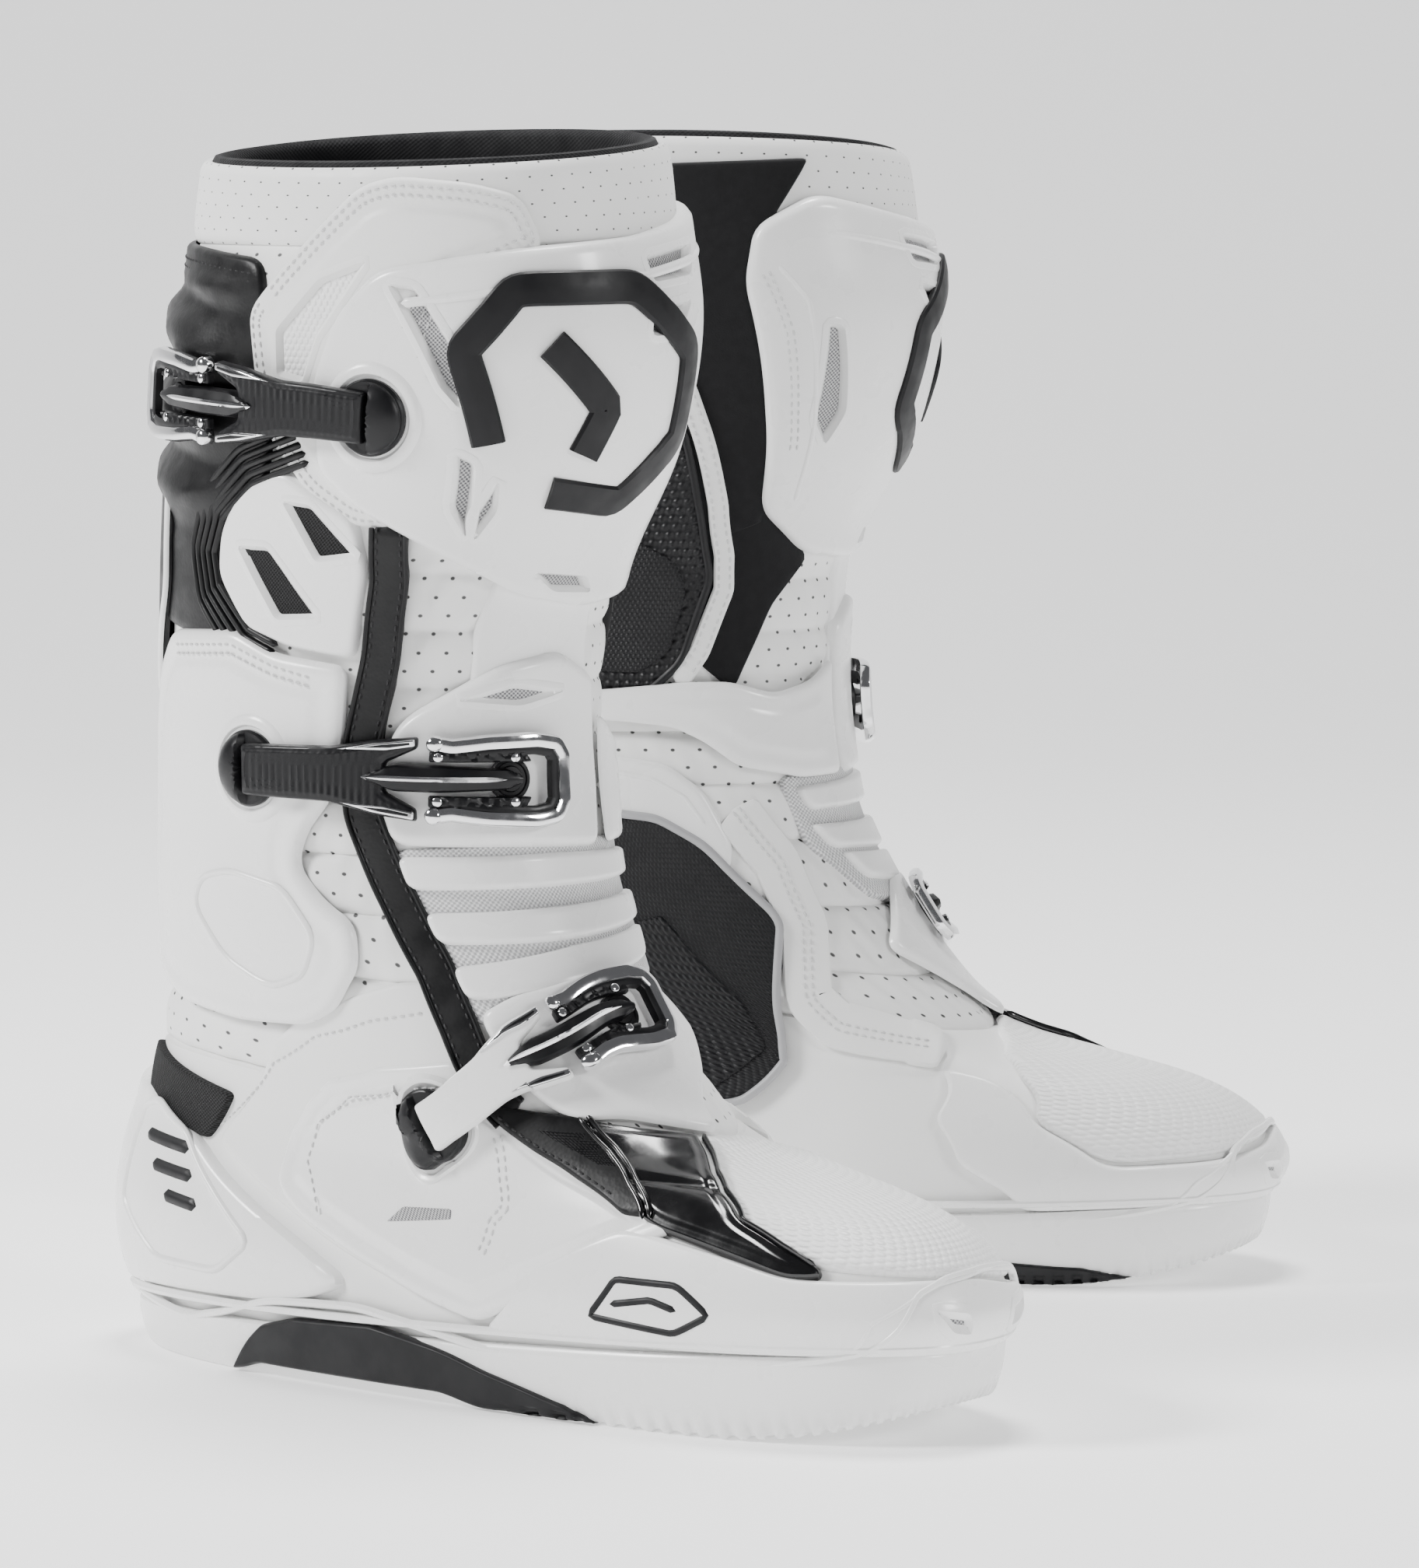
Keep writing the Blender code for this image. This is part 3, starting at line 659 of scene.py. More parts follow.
def make_materials(look):
    """All finishes, named by what they are used for."""
    white, plastic, black = tuple(look.white_leather), tuple(look.white_plastic), tuple(look.black_leather)
    rubber = tuple(look.black_rubber)
    made = {
        "white_leather": leather("white_leather", white, 0.5, look.grain),
        "perforated": leather("perforated_leather", white, 0.52, look.grain),
        "black_leather": leather("black_leather", black, 0.42, look.grain * 1.2),
        "patent": leather("patent_leather", black, 0.2, look.grain * 0.4, 0.7)}
    made["collar"] = leather("collar_leather", white, 0.5, look.grain)
    for key, pitch, size in (("perforated", look.hole_pitch, 0.085), ("collar", look.hole_pitch * 0.8, 0.06)):
        holes = made[key].step(made[key].dots(pitch), size * 0.7, size * 1.2, 1.0, 0.0)
        made[key].tint(holes, (0.05, 0.05, 0.05))
        made[key].bump(holes, -0.8, 0.6)
    gloss = look.chrome_roughness
    # key, name, colour, roughness, shader settings, noise bump (scale, detail, strength, depth), wear
    for key, name, colour, rough, more, grain, worn in (
            ("white_plastic", "white_plastic", plastic, 0.3, {"coat": 0.25}, (700.0, 2.0, 0.06, 0.1),
             (60.0, 0.24, 0.36)),
            ("rubber", "black_rubber", rubber, 0.5, {}, (900.0, 3.0, 0.2, 0.1), (100.0, 0.42, 0.58)),
            ("suede", "black_suede", black, 0.95, {"sheen": 0.05}, (1600.0, 6.0, 0.5, 0.25), None),
            # the white thread is coloured mid grey (0.6): painted shade standing in for the shade in the
            # stitch grooves
            ("thread", "white_thread_painted_shade", (0.6, 0.6, 0.6), 0.7, {}, (2500.0, 2.0, 0.3, 0.1), None),
            ("black_thread", "black_thread", (0.02, 0.02, 0.021), 0.6, {}, (2500.0, 2.0, 0.3, 0.1),
             None),
            ("chrome", "polished_chrome", (0.86, 0.86, 0.87), gloss, {"metal": 1.0}, (60.0, 2.0, 0.05, 0.2),
             (220.0, gloss * 0.7, gloss * 1.6)),
            ("black_plastic", "black_plastic", rubber, 0.36, {}, (1200.0, 3.0, 0.15, 0.08),
             (140.0, 0.3, 0.46)),
            ("grey_rim", "grey_rim", (0.34, 0.34, 0.35), 0.45, {}, (900.0, 2.0, 0.1, 0.1),
             (100.0, 0.4, 0.5))):
        made[key] = Finish(name, colour, rough, **more)
        scale, detail, strength, depth = grain
        made[key].bump(made[key].noise(scale, detail), strength, depth)
        if worn:
            made[key].wear(*worn)
    made["suede"].tint(made["suede"].noise(260.0, 4.0), (0.009, 0.009, 0.01))
    # key, name, colour, roughness, stud pitch, stud radius in pitches, bump strength and depth, wear
    for key, name, colour, rough, pitch, radius, strength, depth, worn in (
            ("textured", "textured_white_rubber", plastic, 0.42, 2.3, 0.15, 0.6, 0.5, (80.0, 0.36, 0.5)),
            ("grip", "studded_rubber", rubber, 0.5, 3.4, 0.1, 0.8, 0.9, (100.0, 0.4, 0.56)),
            ("fine_grip", "fine_studded_rubber", rubber, 0.55, 1.7, 0.1, 0.7, 0.5, (100.0, 0.46, 0.6))):
        made[key] = Finish(name, colour, rough)
        studs = made[key].step(made[key].dots(pitch), radius, 0.5, 1.0, 0.0)
        made[key].bump(studs, strength, depth)
        made[key].wear(*worn)
    made["lining"] = Finish("lining_fabric", rubber, 0.85, sheen=0.04)
    made["lining"].bump(made["lining"].weave(1.4), 0.4, 0.2)
    made["lining"].wear(150.0, 0.8, 0.92)
    for name, dark, light in (("grey_mesh", (0.16, 0.16, 0.17), (0.62, 0.62, 0.62)),
                              ("melange", (0.45, 0.45, 0.46), (0.82, 0.82, 0.82)),
                              ("black_mesh", (0.002, 0.002, 0.002), (0.02, 0.02, 0.021))):
        cloth = Finish(name, light, 0.8)
        cloth.tint(cloth.step(cloth.weave(1.3), -0.5, 0.5), dark)
        cloth.bump(cloth.weave(1.3), 0.7, 0.35)
        made[name] = cloth
    return {key: value.material for key, value in made.items()}


# ------------------------------------------------------------------ outlines of the panels
SHIN = [(72, 356), (40, 362), (6, 365), (-20, 370), (-46, 377), (-62, 366), (-65, 346), (-56, 300),
        (-48, 268), (-30, 252), (0, 249), (26, 254), (54, 270), (72, 281), (84, 293), (87, 320), (82, 341)]
SHIN_WINDOWS = [([(69, 351), (63, 350), (53, 328), (52, 313), (57, 320)], (0, 1, 3, 4)),
                ([(52, 300), (47, 297), (45, 284), (44, 274), (50, 283)], (0, 1, 3, 4)),
                ([(41, 293), (39, 283), (42, 273), (44, 281)], (0, 1, 2, 3)),
                ([(6, 358), (-20, 362), (-16, 352), (4, 350)], (0, 1, 2, 3)),
                ([(5, 342), (-14, 345), (-6, 335), (6, 335)], (0, 1, 2, 3)),
                ([(-41, 332), (-45, 333), (-44, 300), (-39, 292), (-36, 303)], (0, 1, 3, 4)),
                ([(24, 263), (4, 261), (0, 255), (16, 256)], (0, 1, 2, 3))]
BADGE_RING = [(45, 303), (53, 331), (42, 349), (12, 349), (-12, 331), (-14, 304), (6, 286), (28, 289)]
BADGE_BAR = [(34, 333), (18, 314), (22, 300)]
COLLAR_PANEL = [(98, 355), (88, 368), (77, 381), (68, 384), (50, 382), (38, 378), (33, 362), (56, 350),
                (66, 310), (60, 275), (72, 275), (86, 285), (98, 301), (104, 322), (107, 342)]
COLLAR_WINDOW = [(97, 336), (96, 322), (89, 320), (86, 334), (74, 358), (86, 352)]
VENT_PANEL = [(94, 293), (106, 286), (111, 272), (111, 258), (101, 241), (88, 236), (68, 233), (66, 262),
              (72, 278)]
VENTS = [([(92, 283), (84, 282), (69, 266), (80, 264)], (0, 1, 2, 3)),
         ([(104, 268), (95, 268), (78, 246), (91, 245)], (0, 1, 2, 3))]
GAITER = [(104, 358), (128, 361), (180, 365), (232, 360), (246, 330), (242, 290), (226, 250), (180, 240),
          (140, 240), (110, 236), (100, 260), (98, 300), (100, 330)]
REAR_FLAP = [(138, 290), (160, 296), (200, 296), (222, 290), (226, 252), (206, 214), (180, 206), (154, 214),
             (136, 252)]
CALF = [(130, 239), (104, 241), (91, 234), (70, 231), (71, 206), (75, 188), (83, 177), (86, 167), (80, 157),
        (73, 151), (76, 140), (87, 128), (98, 121), (115, 118), (133, 119), (147, 126), (150, 150),
        (148, 186), (147, 206), (140, 226)]
CALF_HEX = [(120, 152), (112, 137), (102, 131), (91, 136), (84, 147), (90, 160), (106, 164), (116, 161)]
FLAP = [(58, 211), (53, 217), (30, 232), (10, 236), (-8, 227), (-10, 190), (-7, 171), (28, 173), (60, 174),
        (63, 190)]
FLAP_WINDOW = [(42, 221), (26, 226), (8, 223), (24, 219)]
RIBS = [[(59, 171), (14, 171), (-34, 169), (-30, 161), (14, 161), (57, 161)],
        [(55, 155), (14, 156), (-32, 157), (-27, 150), (14, 148), (54, 147)],
        [(53, 142), (16, 147), (-24, 149), (-18, 142), (16, 139), (53, 134)]]
RIB_MESH = [(60, 173), (14, 175), (-38, 173), (-34, 150), (-20, 138), (16, 134), (54, 128), (57, 150)]
GUSSET_SEAM = [(-53, 163), (-46, 147), (-48, 131), (-62, 109), (-64, 98), (-48, 89)]
INSTEP = [(52, 131), (41, 136), (17, 141), (0, 141), (-10, 137), (-28, 125), (-15, 118), (0, 110), (6, 101),
          (19, 104), (33, 107), (47, 105), (51, 113)]
EDGING = [(63, 276), (60, 258), (61, 234), (66, 206), (67, 184), (60, 158), (57, 141), (58, 128), (60, 117),
          (61, 104)]
VAMP = [(66, 106), (40, 106), (14, 102), (21, 95), (33, 85), (41, 76), (48, 65), (46, 55), (42, 48), (44, 44),
        (50, 44), (57, 51), (66, 60), (66, 75), (66, 92)]
TOE_PAD = [(14, 103), (33, 88), (42, 77), (50, 62), (44, 48), (26, 45), (8, 43), (-10, 40), (-33, 37),
           (-55, 36), (-62, 52), (-50, 72), (-34, 88), (-10, 100)]
TOE_CAP = [(92, 44), (80, 54), (70, 61), (58, 52), (50, 45), (42, 44), (26, 43), (8, 42), (-10, 38),
           (-33, 35), (-55, 35), (-62, 52), (-56, 72), (-60, 78), (-78, 54), (-79, 36), (-71, 24),
           (-69, 18), (-40, 18), (0, 17), (40, 18), (70, 19), (99, 21), (95, 33)]
TOE_VENTS = [([(23, 33), (13, 31), (12, 26), (18, 27)], (0, 1, 2, 3)),
             ([(-8, 31), (-18, 32), (-14, 27), (-7, 26)], (0, 1, 2, 3))]
FOOT_SHELL = [(56, 106), (57, 84), (60, 62), (76, 50), (90, 38), (99, 24), (105, 31), (112, 43), (117, 53),
              (119, 62), (117, 72), (114, 83), (108, 96), (101, 105), (86, 113), (64, 119)]
ANKLE_WING = [(58, 104), (60, 138), (68, 137), (84, 131), (100, 123), (111, 112), (118, 97), (125, 82),
              (128, 74), (122, 62), (113, 43), (105, 31), (98, 30), (80, 60)]
HEEL = [(120, 24), (180, 22), (240, 24), (244, 44), (238, 66), (222, 84), (180, 91), (148, 87), (132, 75),
        (125, 60), (118, 46), (112, 32)]
HEEL_RIDGE = [(147, 80), (147, 49), (138, 33), (128, 32), (123, 42), (126, 52), (133, 74), (142, 83)]
HEEL_MESH = [(156, 101), (124, 91), (130, 73), (150, 84)]
MEDIAL = [(-12, 214), (-24, 206), (-38, 202), (-52, 207), (-64, 207), (-88, 204), (-120, 205), (-136, 196),
          (-130, 178), (-118, 188), (-100, 194), (-82, 193), (-68, 191), (-60, 186), (-51, 177), (-31, 172),
          (-12, 172)]
TONGUE = [(-8, 262), (30, 268), (37, 244), (38, 222), (30, 205), (-12, 205), (-6, 232)]
GUARD = [(-54, 132), (-64, 152), (-74, 160), (-89, 162), (-106, 161), (-117, 148), (-119, 110), (-118, 76),
         (-110, 58), (-102, 58), (-85, 86)]
GUARD_INSET = [(-99, 125), (-82, 131), (-79, 106), (-87, 88), (-103, 64), (-112, 72), (-115, 108)]
PIVOT_COVER = [(-56, 152), (-60, 168), (-70, 178), (-90, 182), (-108, 181), (-119, 172), (-122, 156),
               (-116, 148), (-104, 156), (-88, 158), (-72, 154), (-62, 142)]
SUEDE = [(-46, 389), (-57, 368), (-56, 320), (-44, 264), (-74, 248), (-98, 250), (-108, 300), (-108, 386)]
SUEDE_TAIL = [(-26, 250), (-40, 268), (-56, 280), (-62, 250), (-61, 214), (-50, 203), (-38, 234)]
CALF_GRIP = [(-104, 300), (-86, 302), (-75, 297), (-63, 264), (-58, 244), (-65, 214), (-74, 203), (-104, 204)]
GRIP_INSET = [(-100, 250), (-80, 258), (-68, 250), (-64, 240), (-68, 218), (-76, 210), (-100, 211)]
INNER_SEAM = [(-88, 345), (-72, 300), (-60, 270), (-55, 252), (-54, 240), (-60, 218), (-66, 206)]

# strap name: course in angle and height, strap length, spear end, buckle start and end
STRAPS = {
    "calf": ([(62, 309), (84, 312), (120, 314), (180, 317), (236, 316)], 58.0, 90.0, 60.6, 106.0),
    "ankle": ([(110, 197), (74, 197), (40, 195), (-30, 192)], 62.0, 96.0, 64.6, 112.0),
    "instep": ([(97, 82), (87, 93), (50, 120), (21, 131), (-14, 131), (-40, 127)], 50.0, 80.0, 52.6, 94.0)}
POST_AT = {"calf": 14.0, "ankle": 18.0, "instep": 17.0}
STRAP_LOW, STRAP_HIGH = 9.4, 12.2

# stage, metres: the paper curve, the lamps (name, place, width, watts) and the camera
COVE_START, COVE_RADIUS, COVE_TOP = 2.0, 1.6, 5.0
LAMPS = (("key_lamp", (-1.7, 1.9, 1.9), 0.8, 120),
         ("front_lamp", (-0.6, -2.6, 1.2), 0.5, 34),
         ("top_lamp", (0.3, 0.1, 2.4), 0.7, 60))
LAMP_AIM = Vector((0, 0, 0.2))
CAMERA_LENS, CAMERA_AT, CAMERA_AIM = 151.3, Vector((-1.9774, -0.9717, 0.395)), Vector((0, -0.0073, 0.180))


def strap_track(key):
    """Course of a strap over the body."""
    return Course(surface, STRAPS[key][0], 60, False, STRAP_LOW)


def ridge(outline, top, width=0.9, rise=0.8, radius=4.0, closed=True):
    """Raised rounded line on a plate."""
    if closed:
        outline = [tuple(p) for p in smooth_loop(surface, outline, radius)[0]]
    course = Course(surface, outline, 2 if closed else 6, closed, top)
    profile = [(-width, top - 0.6), (-width, top), (-width * 0.5, top + rise * 0.8), (0, top + rise),
               (width * 0.5, top + rise * 0.8), (width, top), (width, top - 0.6)]
    return carried(course, profile, taper=0.0 if closed else 2.0)


def seam_rows(line, height, gap=1.5, closed=False, single=False):
    """One or two rows of stitches along a line on the body."""
    course = Course(surface, line, 6, closed, height)
    rows = (0.0,) if single else (-gap, gap)
    return merged([stitches(course, across, height + 0.12) for across in rows])


def channels(pitch, start, rise):
    """Relief of a quilted panel: rolls between sewn channels, pinched a little at random."""
    def relief(angle, t):
        wave = np.abs(np.sin((t - start) * np.pi / pitch))
        crease = 0.12 * np.sin(angle * 0.7 + t * 0.35) * np.sin(angle * 0.23 - t * 0.11)
        return rise * (wave ** 0.4 + crease) - 1.2
    return relief


def sole_wall(angle, v, offset):
    """Side wall of the sole: angle round it, v millimetres up it and offset outwards.

    The bottom line rises behind the ball for the waist and towards the tip of the toe, and carries
    short lugs under the toe and the ball.
    """
    angle, v, offset = np.broadcast_arrays(np.asarray(angle, float), np.asarray(v, float),
                                           np.asarray(offset, float))
    rim = body(angle, 15.0)
    out = surface(angle, 15.0, 4.0) - rim
    out[..., 2] = 0
    out /= np.linalg.norm(out, axis=-1, keepdims=True)
    f = rim[..., 1]
    waist = ramp(f, -40, -24) * (1 - ramp(f, 48, 70))
    lift = waist * 3.4 + np.clip((f - 150) / 64, 0, 1.1) ** 2 * 11.0
    lug = ramp(np.sin(angle * 1.9), -0.2, 0.2) * ramp(f, 70, 96) * (1 - ramp(v, 2.2, 2.8)) * 1.3
    share = np.clip(v / 15.0, 0, 1.4)
    spread = 1.4 + 3.0 * np.sin(np.minimum(share, 1) * np.pi / 2) + offset - lug * 0.6
    p = rim + out * spread[..., None]
    p[..., 2] = lift + lug * (share < 0.03) + (rim[..., 2] - lift) * share
    return p


# ------------------------------------------------------------------ the add-on
class BootSettings(PropertyGroup):
    """Sizes and colours of the boots."""
    hole_pitch: FloatProperty(name="Perforation pitch", description="Distance between holes in mm",
                              default=6.8)
    grain: FloatProperty(name="Leather grain", description="Strength of the leather grain", default=0.22)
    chrome_roughness: FloatProperty(name="Chrome roughness", description="Blur of the metal", default=0.1)
    ring_steps: IntProperty(name="Ring steps", description="Points round a full ring", default=240)
    quilt_rise: FloatProperty(name="Quilt rise", description="Height of the quilted rolls in mm", default=2.7)
    floor_size: FloatProperty(name="Floor size", description="Width of the floor", default=12.0,
                              unit="LENGTH")
    white_leather: FloatVectorProperty(name="White leather", description="Colour of the white leather",
                                       subtype="COLOR", default=(0.83, 0.83, 0.82))
    white_plastic: FloatVectorProperty(name="White plastic", description="Colour of the white armour",
                                       subtype="COLOR", default=(0.87, 0.87, 0.865))
    black_leather: FloatVectorProperty(name="Black leather", description="Colour of the black leather",
                                       subtype="COLOR", default=(0.004, 0.004, 0.0045))
    black_rubber: FloatVectorProperty(name="Black rubber", description="Colour of rubber and black plastic",
                                      subtype="COLOR", default=(0.005, 0.005, 0.006))


FINISH = {}


class PieceOperator:
    """What every piece operator shares: it builds its pieces for both boots."""
    bl_options = {"REGISTER", "UNDO"}

    def execute(self, context):
        look = context.scene.boot_settings
        if not FINISH:
            FINISH.update(make_materials(look))
        for side in SIDES:
            self.build(side, look)
        return {"FINISHED"}


class BOOTS_OT_soles(PieceOperator, Operator):
    """Soles: the body's lowest contour drawn down to a tread line, spread by a wall profile.

    The tread line rises behind the ball for the waist and towards the tip of the toe; short lugs
    are a square wave on the bottom edge.
    """
    bl_idname = "boots.soles"
    bl_label = "Soles"

    def build(self, side, look):
        steps = 720
        angle = np.arange(steps) * 360.0 / steps
        rows = [sole_wall(angle, v, h) for v, h in ((0, -14), (0, -1.5), (0.8, -0.4), (2.0, 0.1),
                                                    (4.0, 0.4), (7.0, 0.6), (9.5, 0.7), (12.0, 0.7),
                                                    (14.2, 0.7), (15.4, 0.5), (16.0, -0.2), (16.2, -2.0),
                                                    (16.0, -14))]
        for p in (rows[0], rows[-1]):
            p[:, 0] *= 0.55
        middle = [p * [0, 1, 1] for p in (rows[0], rows[-1])]
        rows = np.array([middle[0], *rows, middle[1]])
        uv = np.stack(np.meshgrid(np.arange(len(rows)) * 4.0, np.arange(steps + 1) * 1.0, indexing="ij"), -1)
        add_piece(side, "sole", skin(rows, uv), "white_plastic", "outsole", "foot", "outsole")
        outer = [(129, 0.5), (124, 16), (120, 19.5), (111, 19.5), (104, 14.5), (98, 9.5), (91, 4.5),
                 (84, 0.5), (106, 0.2)]
        inner = [(-128, 0.5), (-120, 13), (-112, 14), (-96, 9), (-76, 6), (-58, 4), (-48, 0.5), (-90, 0.2)]
        inserts = [slab(sole_wall, outer, (0, 2, 3, 7), -0.6, 2.4, 1.5, 1.2, 1.2),
                   slab(sole_wall, inner, (0, 1, 5, 6), -0.6, 1.8, 1.2, 1.0, 1.2)]
        half = [(180, 22), (150, 22), (136, 15), (129, 19), (122, 25), (112, 26), (105, 21), (98, 15),
                (77, 14), (58, 14), (50, 16), (37, 21), (31, 29), (26, 38), (16, 42), (0, 43)]
        line = half + [(-a, t) for a, t in half[-2:0:-1]]
        welt = Course(surface, line, 3, True, 4.0)
        welts = carried(welt, [(-1.2, 3.0), (-1.2, 4.4), (-0.6, 5.2), (0.6, 5.2), (1.2, 4.4), (1.2, 3.0)])
        add_piece(side, "welt", welts, "white_plastic", "outsole", "foot")
        add_piece(side, "arch_inserts", merged(inserts), "rubber", "outsole", "foot")


class BOOTS_OT_leather(PieceOperator, Operator):
    """Leather tube, collar and linings: closed profiles carried once round the body.

    The quilted parts add a rectified sine of the height, so that rolls stand between channels.
    """
    bl_idname = "boots.leather"
    bl_label = "Leather and lining"

    def build(self, side, look):
        n = look.ring_steps
        low = [(15, 0.2)] + [(t, 1.0) for t in range(17, 103, 3)] + [(103, -1.8)]
        low += [(t, -2.0) for t in range(100, 16, -6)]
        add_piece(side, "foot_leather", band(low, n), "white_leather", "foot_upper", "foot", "foot_upper")
        quilt = channels(17.0, 102.5, look.quilt_rise)
        fold = [(102, -1.0)] + [(t, 1.0) for t in np.arange(102.5, 188, 1.0)] + [(188.5, -1.0)]
        fold += [(t, -2.0) for t in range(186, 104, -8)]
        add_piece(side, "ankle_bellows_leather", band(fold, n, quilt), "perforated", "ankle_bellows",
                  "bend", "ankle_bellows")
        leg = [(188.2, -1.2)] + [(t, 0.9) for t in np.arange(189, 270, 1.0)]
        leg += [(t, 0.9) for t in np.arange(270, 362, 4.0)] + [(363, -1.2)]
        leg += [(t, -2.0) for t in range(360, 188, -10)]
        tube = channels(18.0, 188.5, look.quilt_rise * 0.9)

        def front_only(angle, t):
            beside = 1 - ramp(np.where(angle > 180, 0, angle), 62, 76)
            return tube(angle, t) * (1 - ramp(t, 262, 282)) * beside

        add_piece(side, "leg_leather", band(leg, n, front_only), "perforated", "shaft", "cuff", "shaft")
        lip = [(362, -1.0), (362.5, 1.0), (364, 2.0), (368, 2.6), (376, 2.7), (384, 2.5), (388, 2.2),
               (390, 1.6), (391.4, 0.4), (391.4, -1.2), (389, -2.2), (384, -2.4), (370, -2.2)]
        soft = channels(9.7, 362.0, 0.25)
        item = add_piece(side, "collar_leather", band(lip, n, soft, tilt=5.0), "collar", "collar", "cuff",
                         "collar")
        inner = [(150, -4.8)] + [(t, -4.6) for t in range(152, 388, 6)]
        inner += [(389, -3.6), (391.5, -2.4), (393.0, -3.0), (393.6, -4.6), (392.8, -6.4), (391, -7.6)]
        inner += [(t, -8.0) for t in range(386, 150, -12)]
        item = add_piece(side, "cuff_lining", band(inner, n, tilt=5.0), "lining", "bootie_cuff", "cuff",
                         "bootie_cuff")
        sock = [(20, -4.8)] + [(t, -4.6) for t in range(22, 104, 5)] + [(105, -6)]
        sock += [(t, -8.0) for t in range(102, 22, -8)] + [(22, -7.6)]
        add_piece(side, "foot_lining", band(sock, n // 2, bottom=True), "lining", "bootie_foot", "foot",
                  "bootie_foot")


class BOOTS_OT_ankle(PieceOperator, Operator):
    """Ribbed ankle: three Coons-patched bars over a mesh panel, and the black edging beside it."""
    bl_idname = "boots.ankle"
    bl_label = "Ankle ribs and edging"

    def build(self, side, look):
        mesh = slab(surface, RIB_MESH, (0, 2, 4, 6), 1.0, 3.9, edge=1.0)
        add_piece(side, "ankle_mesh", mesh, "melange", "flex_plate", "bend", "flex_plate")
        bars = [slab(surface, rib, (0, 2, 3, 5), 3.2, 6.4, 3.0, 1.8, 1.6) for rib in RIBS]
        add_piece(side, "ankle_ribs", merged(bars), "white_plastic", "flex_plate", "bend")
        course = Course(surface, GUSSET_SEAM, 14, False, 3.8)
        gusset = carried(course, strip_profile(8.5, 0.8, 3.7, 0.2), taper=3.0)
        add_piece(side, "inner_gusset", gusset, "white_leather", "ankle_bellows", "bend")
        add_piece(side, "inner_gusset_stitches", seam_rows(GUSSET_SEAM, 3.8, 1.3), "thread",
                  "ankle_bellows", "bend")
        course = Course(surface, EDGING, 14, False, 4.0)
        strip = carried(course, strip_profile(6.0, 0.8, 4.3, 0.3), taper=3.0)
        add_piece(side, "edging", strip, "black_leather", "ankle_bellows", "bend")
        pipe = merged([carried(course, [(x + w, h) for x, h in round_profile(0.9, 4.3)], 1, course.length - 1)
                       for w in (-5.6, 5.6)])
        add_piece(side, "edging_piping", pipe, "black_leather", "ankle_bellows", "bend")
        sewn = merged([stitches(course, w, 4.5, pitch=3.4) for w in (-3.9, 3.9)])
        add_piece(side, "edging_stitches", sewn, "black_thread", "ankle_bellows", "bend")


class BOOTS_OT_panels(PieceOperator, Operator):
    """Sewn panels: Coons patches on the leather, their edges rounded like folded leather."""
    bl_idname = "boots.panels"
    bl_label = "Sewn panels"

    def build(self, side, look):
        lip, floor = window(surface, COLLAR_WINDOW, 4.6, 1.4, (0, 2, 3, 4), 1.5)
        sink = hollow(surface, COLLAR_WINDOW, 2.8)

        def step_up(u, v, d):
            return 0.9 * ramp(d, 9.0, 10.6)

        panel = slab(surface, COLLAR_PANEL, (3, 6, 9, 12), 0.6, 3.7, 6.0, 1.6, 1.6, added(step_up, sink))
        add_piece(side, "collar_panel", panel, "white_leather", "shaft", "cuff")
        add_piece(side, "collar_panel_lip", lip, "white_leather", "shaft", "cuff")
        add_piece(side, "collar_panel_window", floor, "textured", "shaft", "cuff")
        sewn = []
        for inset in (2.6, 5.4):
            course = Course(surface, [tuple(p) for p in smooth_loop(surface, COLLAR_PANEL, 6.0)[0]], 2,
                            True, 3.7)
            sewn.append(stitches(course, inset * course.inward(), 3.8))
        add_piece(side, "collar_panel_stitches", merged(sewn), "thread", "shaft", "cuff")

        cuts = [hollow(surface, line, 3.4) for line, _ in VENTS]
        panel = slab(surface, VENT_PANEL, (0, 3, 6, 8), 0.8, 4.6, 5.0, 2.4, 1.4, added(*cuts))
        add_piece(side, "vent_panel", panel, "white_plastic", "shaft", "cuff")
        add_windows(side, "vent", VENTS, 4.6, 1.5, "black_mesh", "shaft", "cuff")

        patch = slab(surface, SUEDE, (0, 3, 5, 7), 0.6, 3.6, 4.0, 1.2, 3.0)
        add_piece(side, "suede_panel", patch, "suede", "shaft", "cuff")
        patch = slab(surface, SUEDE_TAIL, (0, 1, 3, 4), 0.8, 3.4, 3.0, 1.2, 2.4)
        add_piece(side, "suede_tail", patch, "suede", "shaft", "cuff")
        course = Course(surface, INNER_SEAM, 10, False, 4.0)
        strip = carried(course, strip_profile(3.6, 1.0, 4.8, 0.2), taper=3.0)
        add_piece(side, "inner_seam", strip, "white_leather", "shaft", "cuff")
        sewn = merged([stitches(course, w, 5.0) for w in (-1.9, 1.9)])
        add_piece(side, "inner_seam_stitches", sewn, "thread", "shaft", "cuff")
        patch = slab(surface, TONGUE, (0, 1, 4, 5), 0.8, 3.4, 5.0, 1.6, 2.4)
        add_piece(side, "front_tongue", patch, "white_plastic", "shaft", "cuff")
        patch = slab(surface, HEEL_MESH, (0, 1, 2, 3), 1.0, 3.4, 3.0, 1.0, 2.0)
        add_piece(side, "heel_mesh", patch, "black_mesh", "foot_upper", "foot")


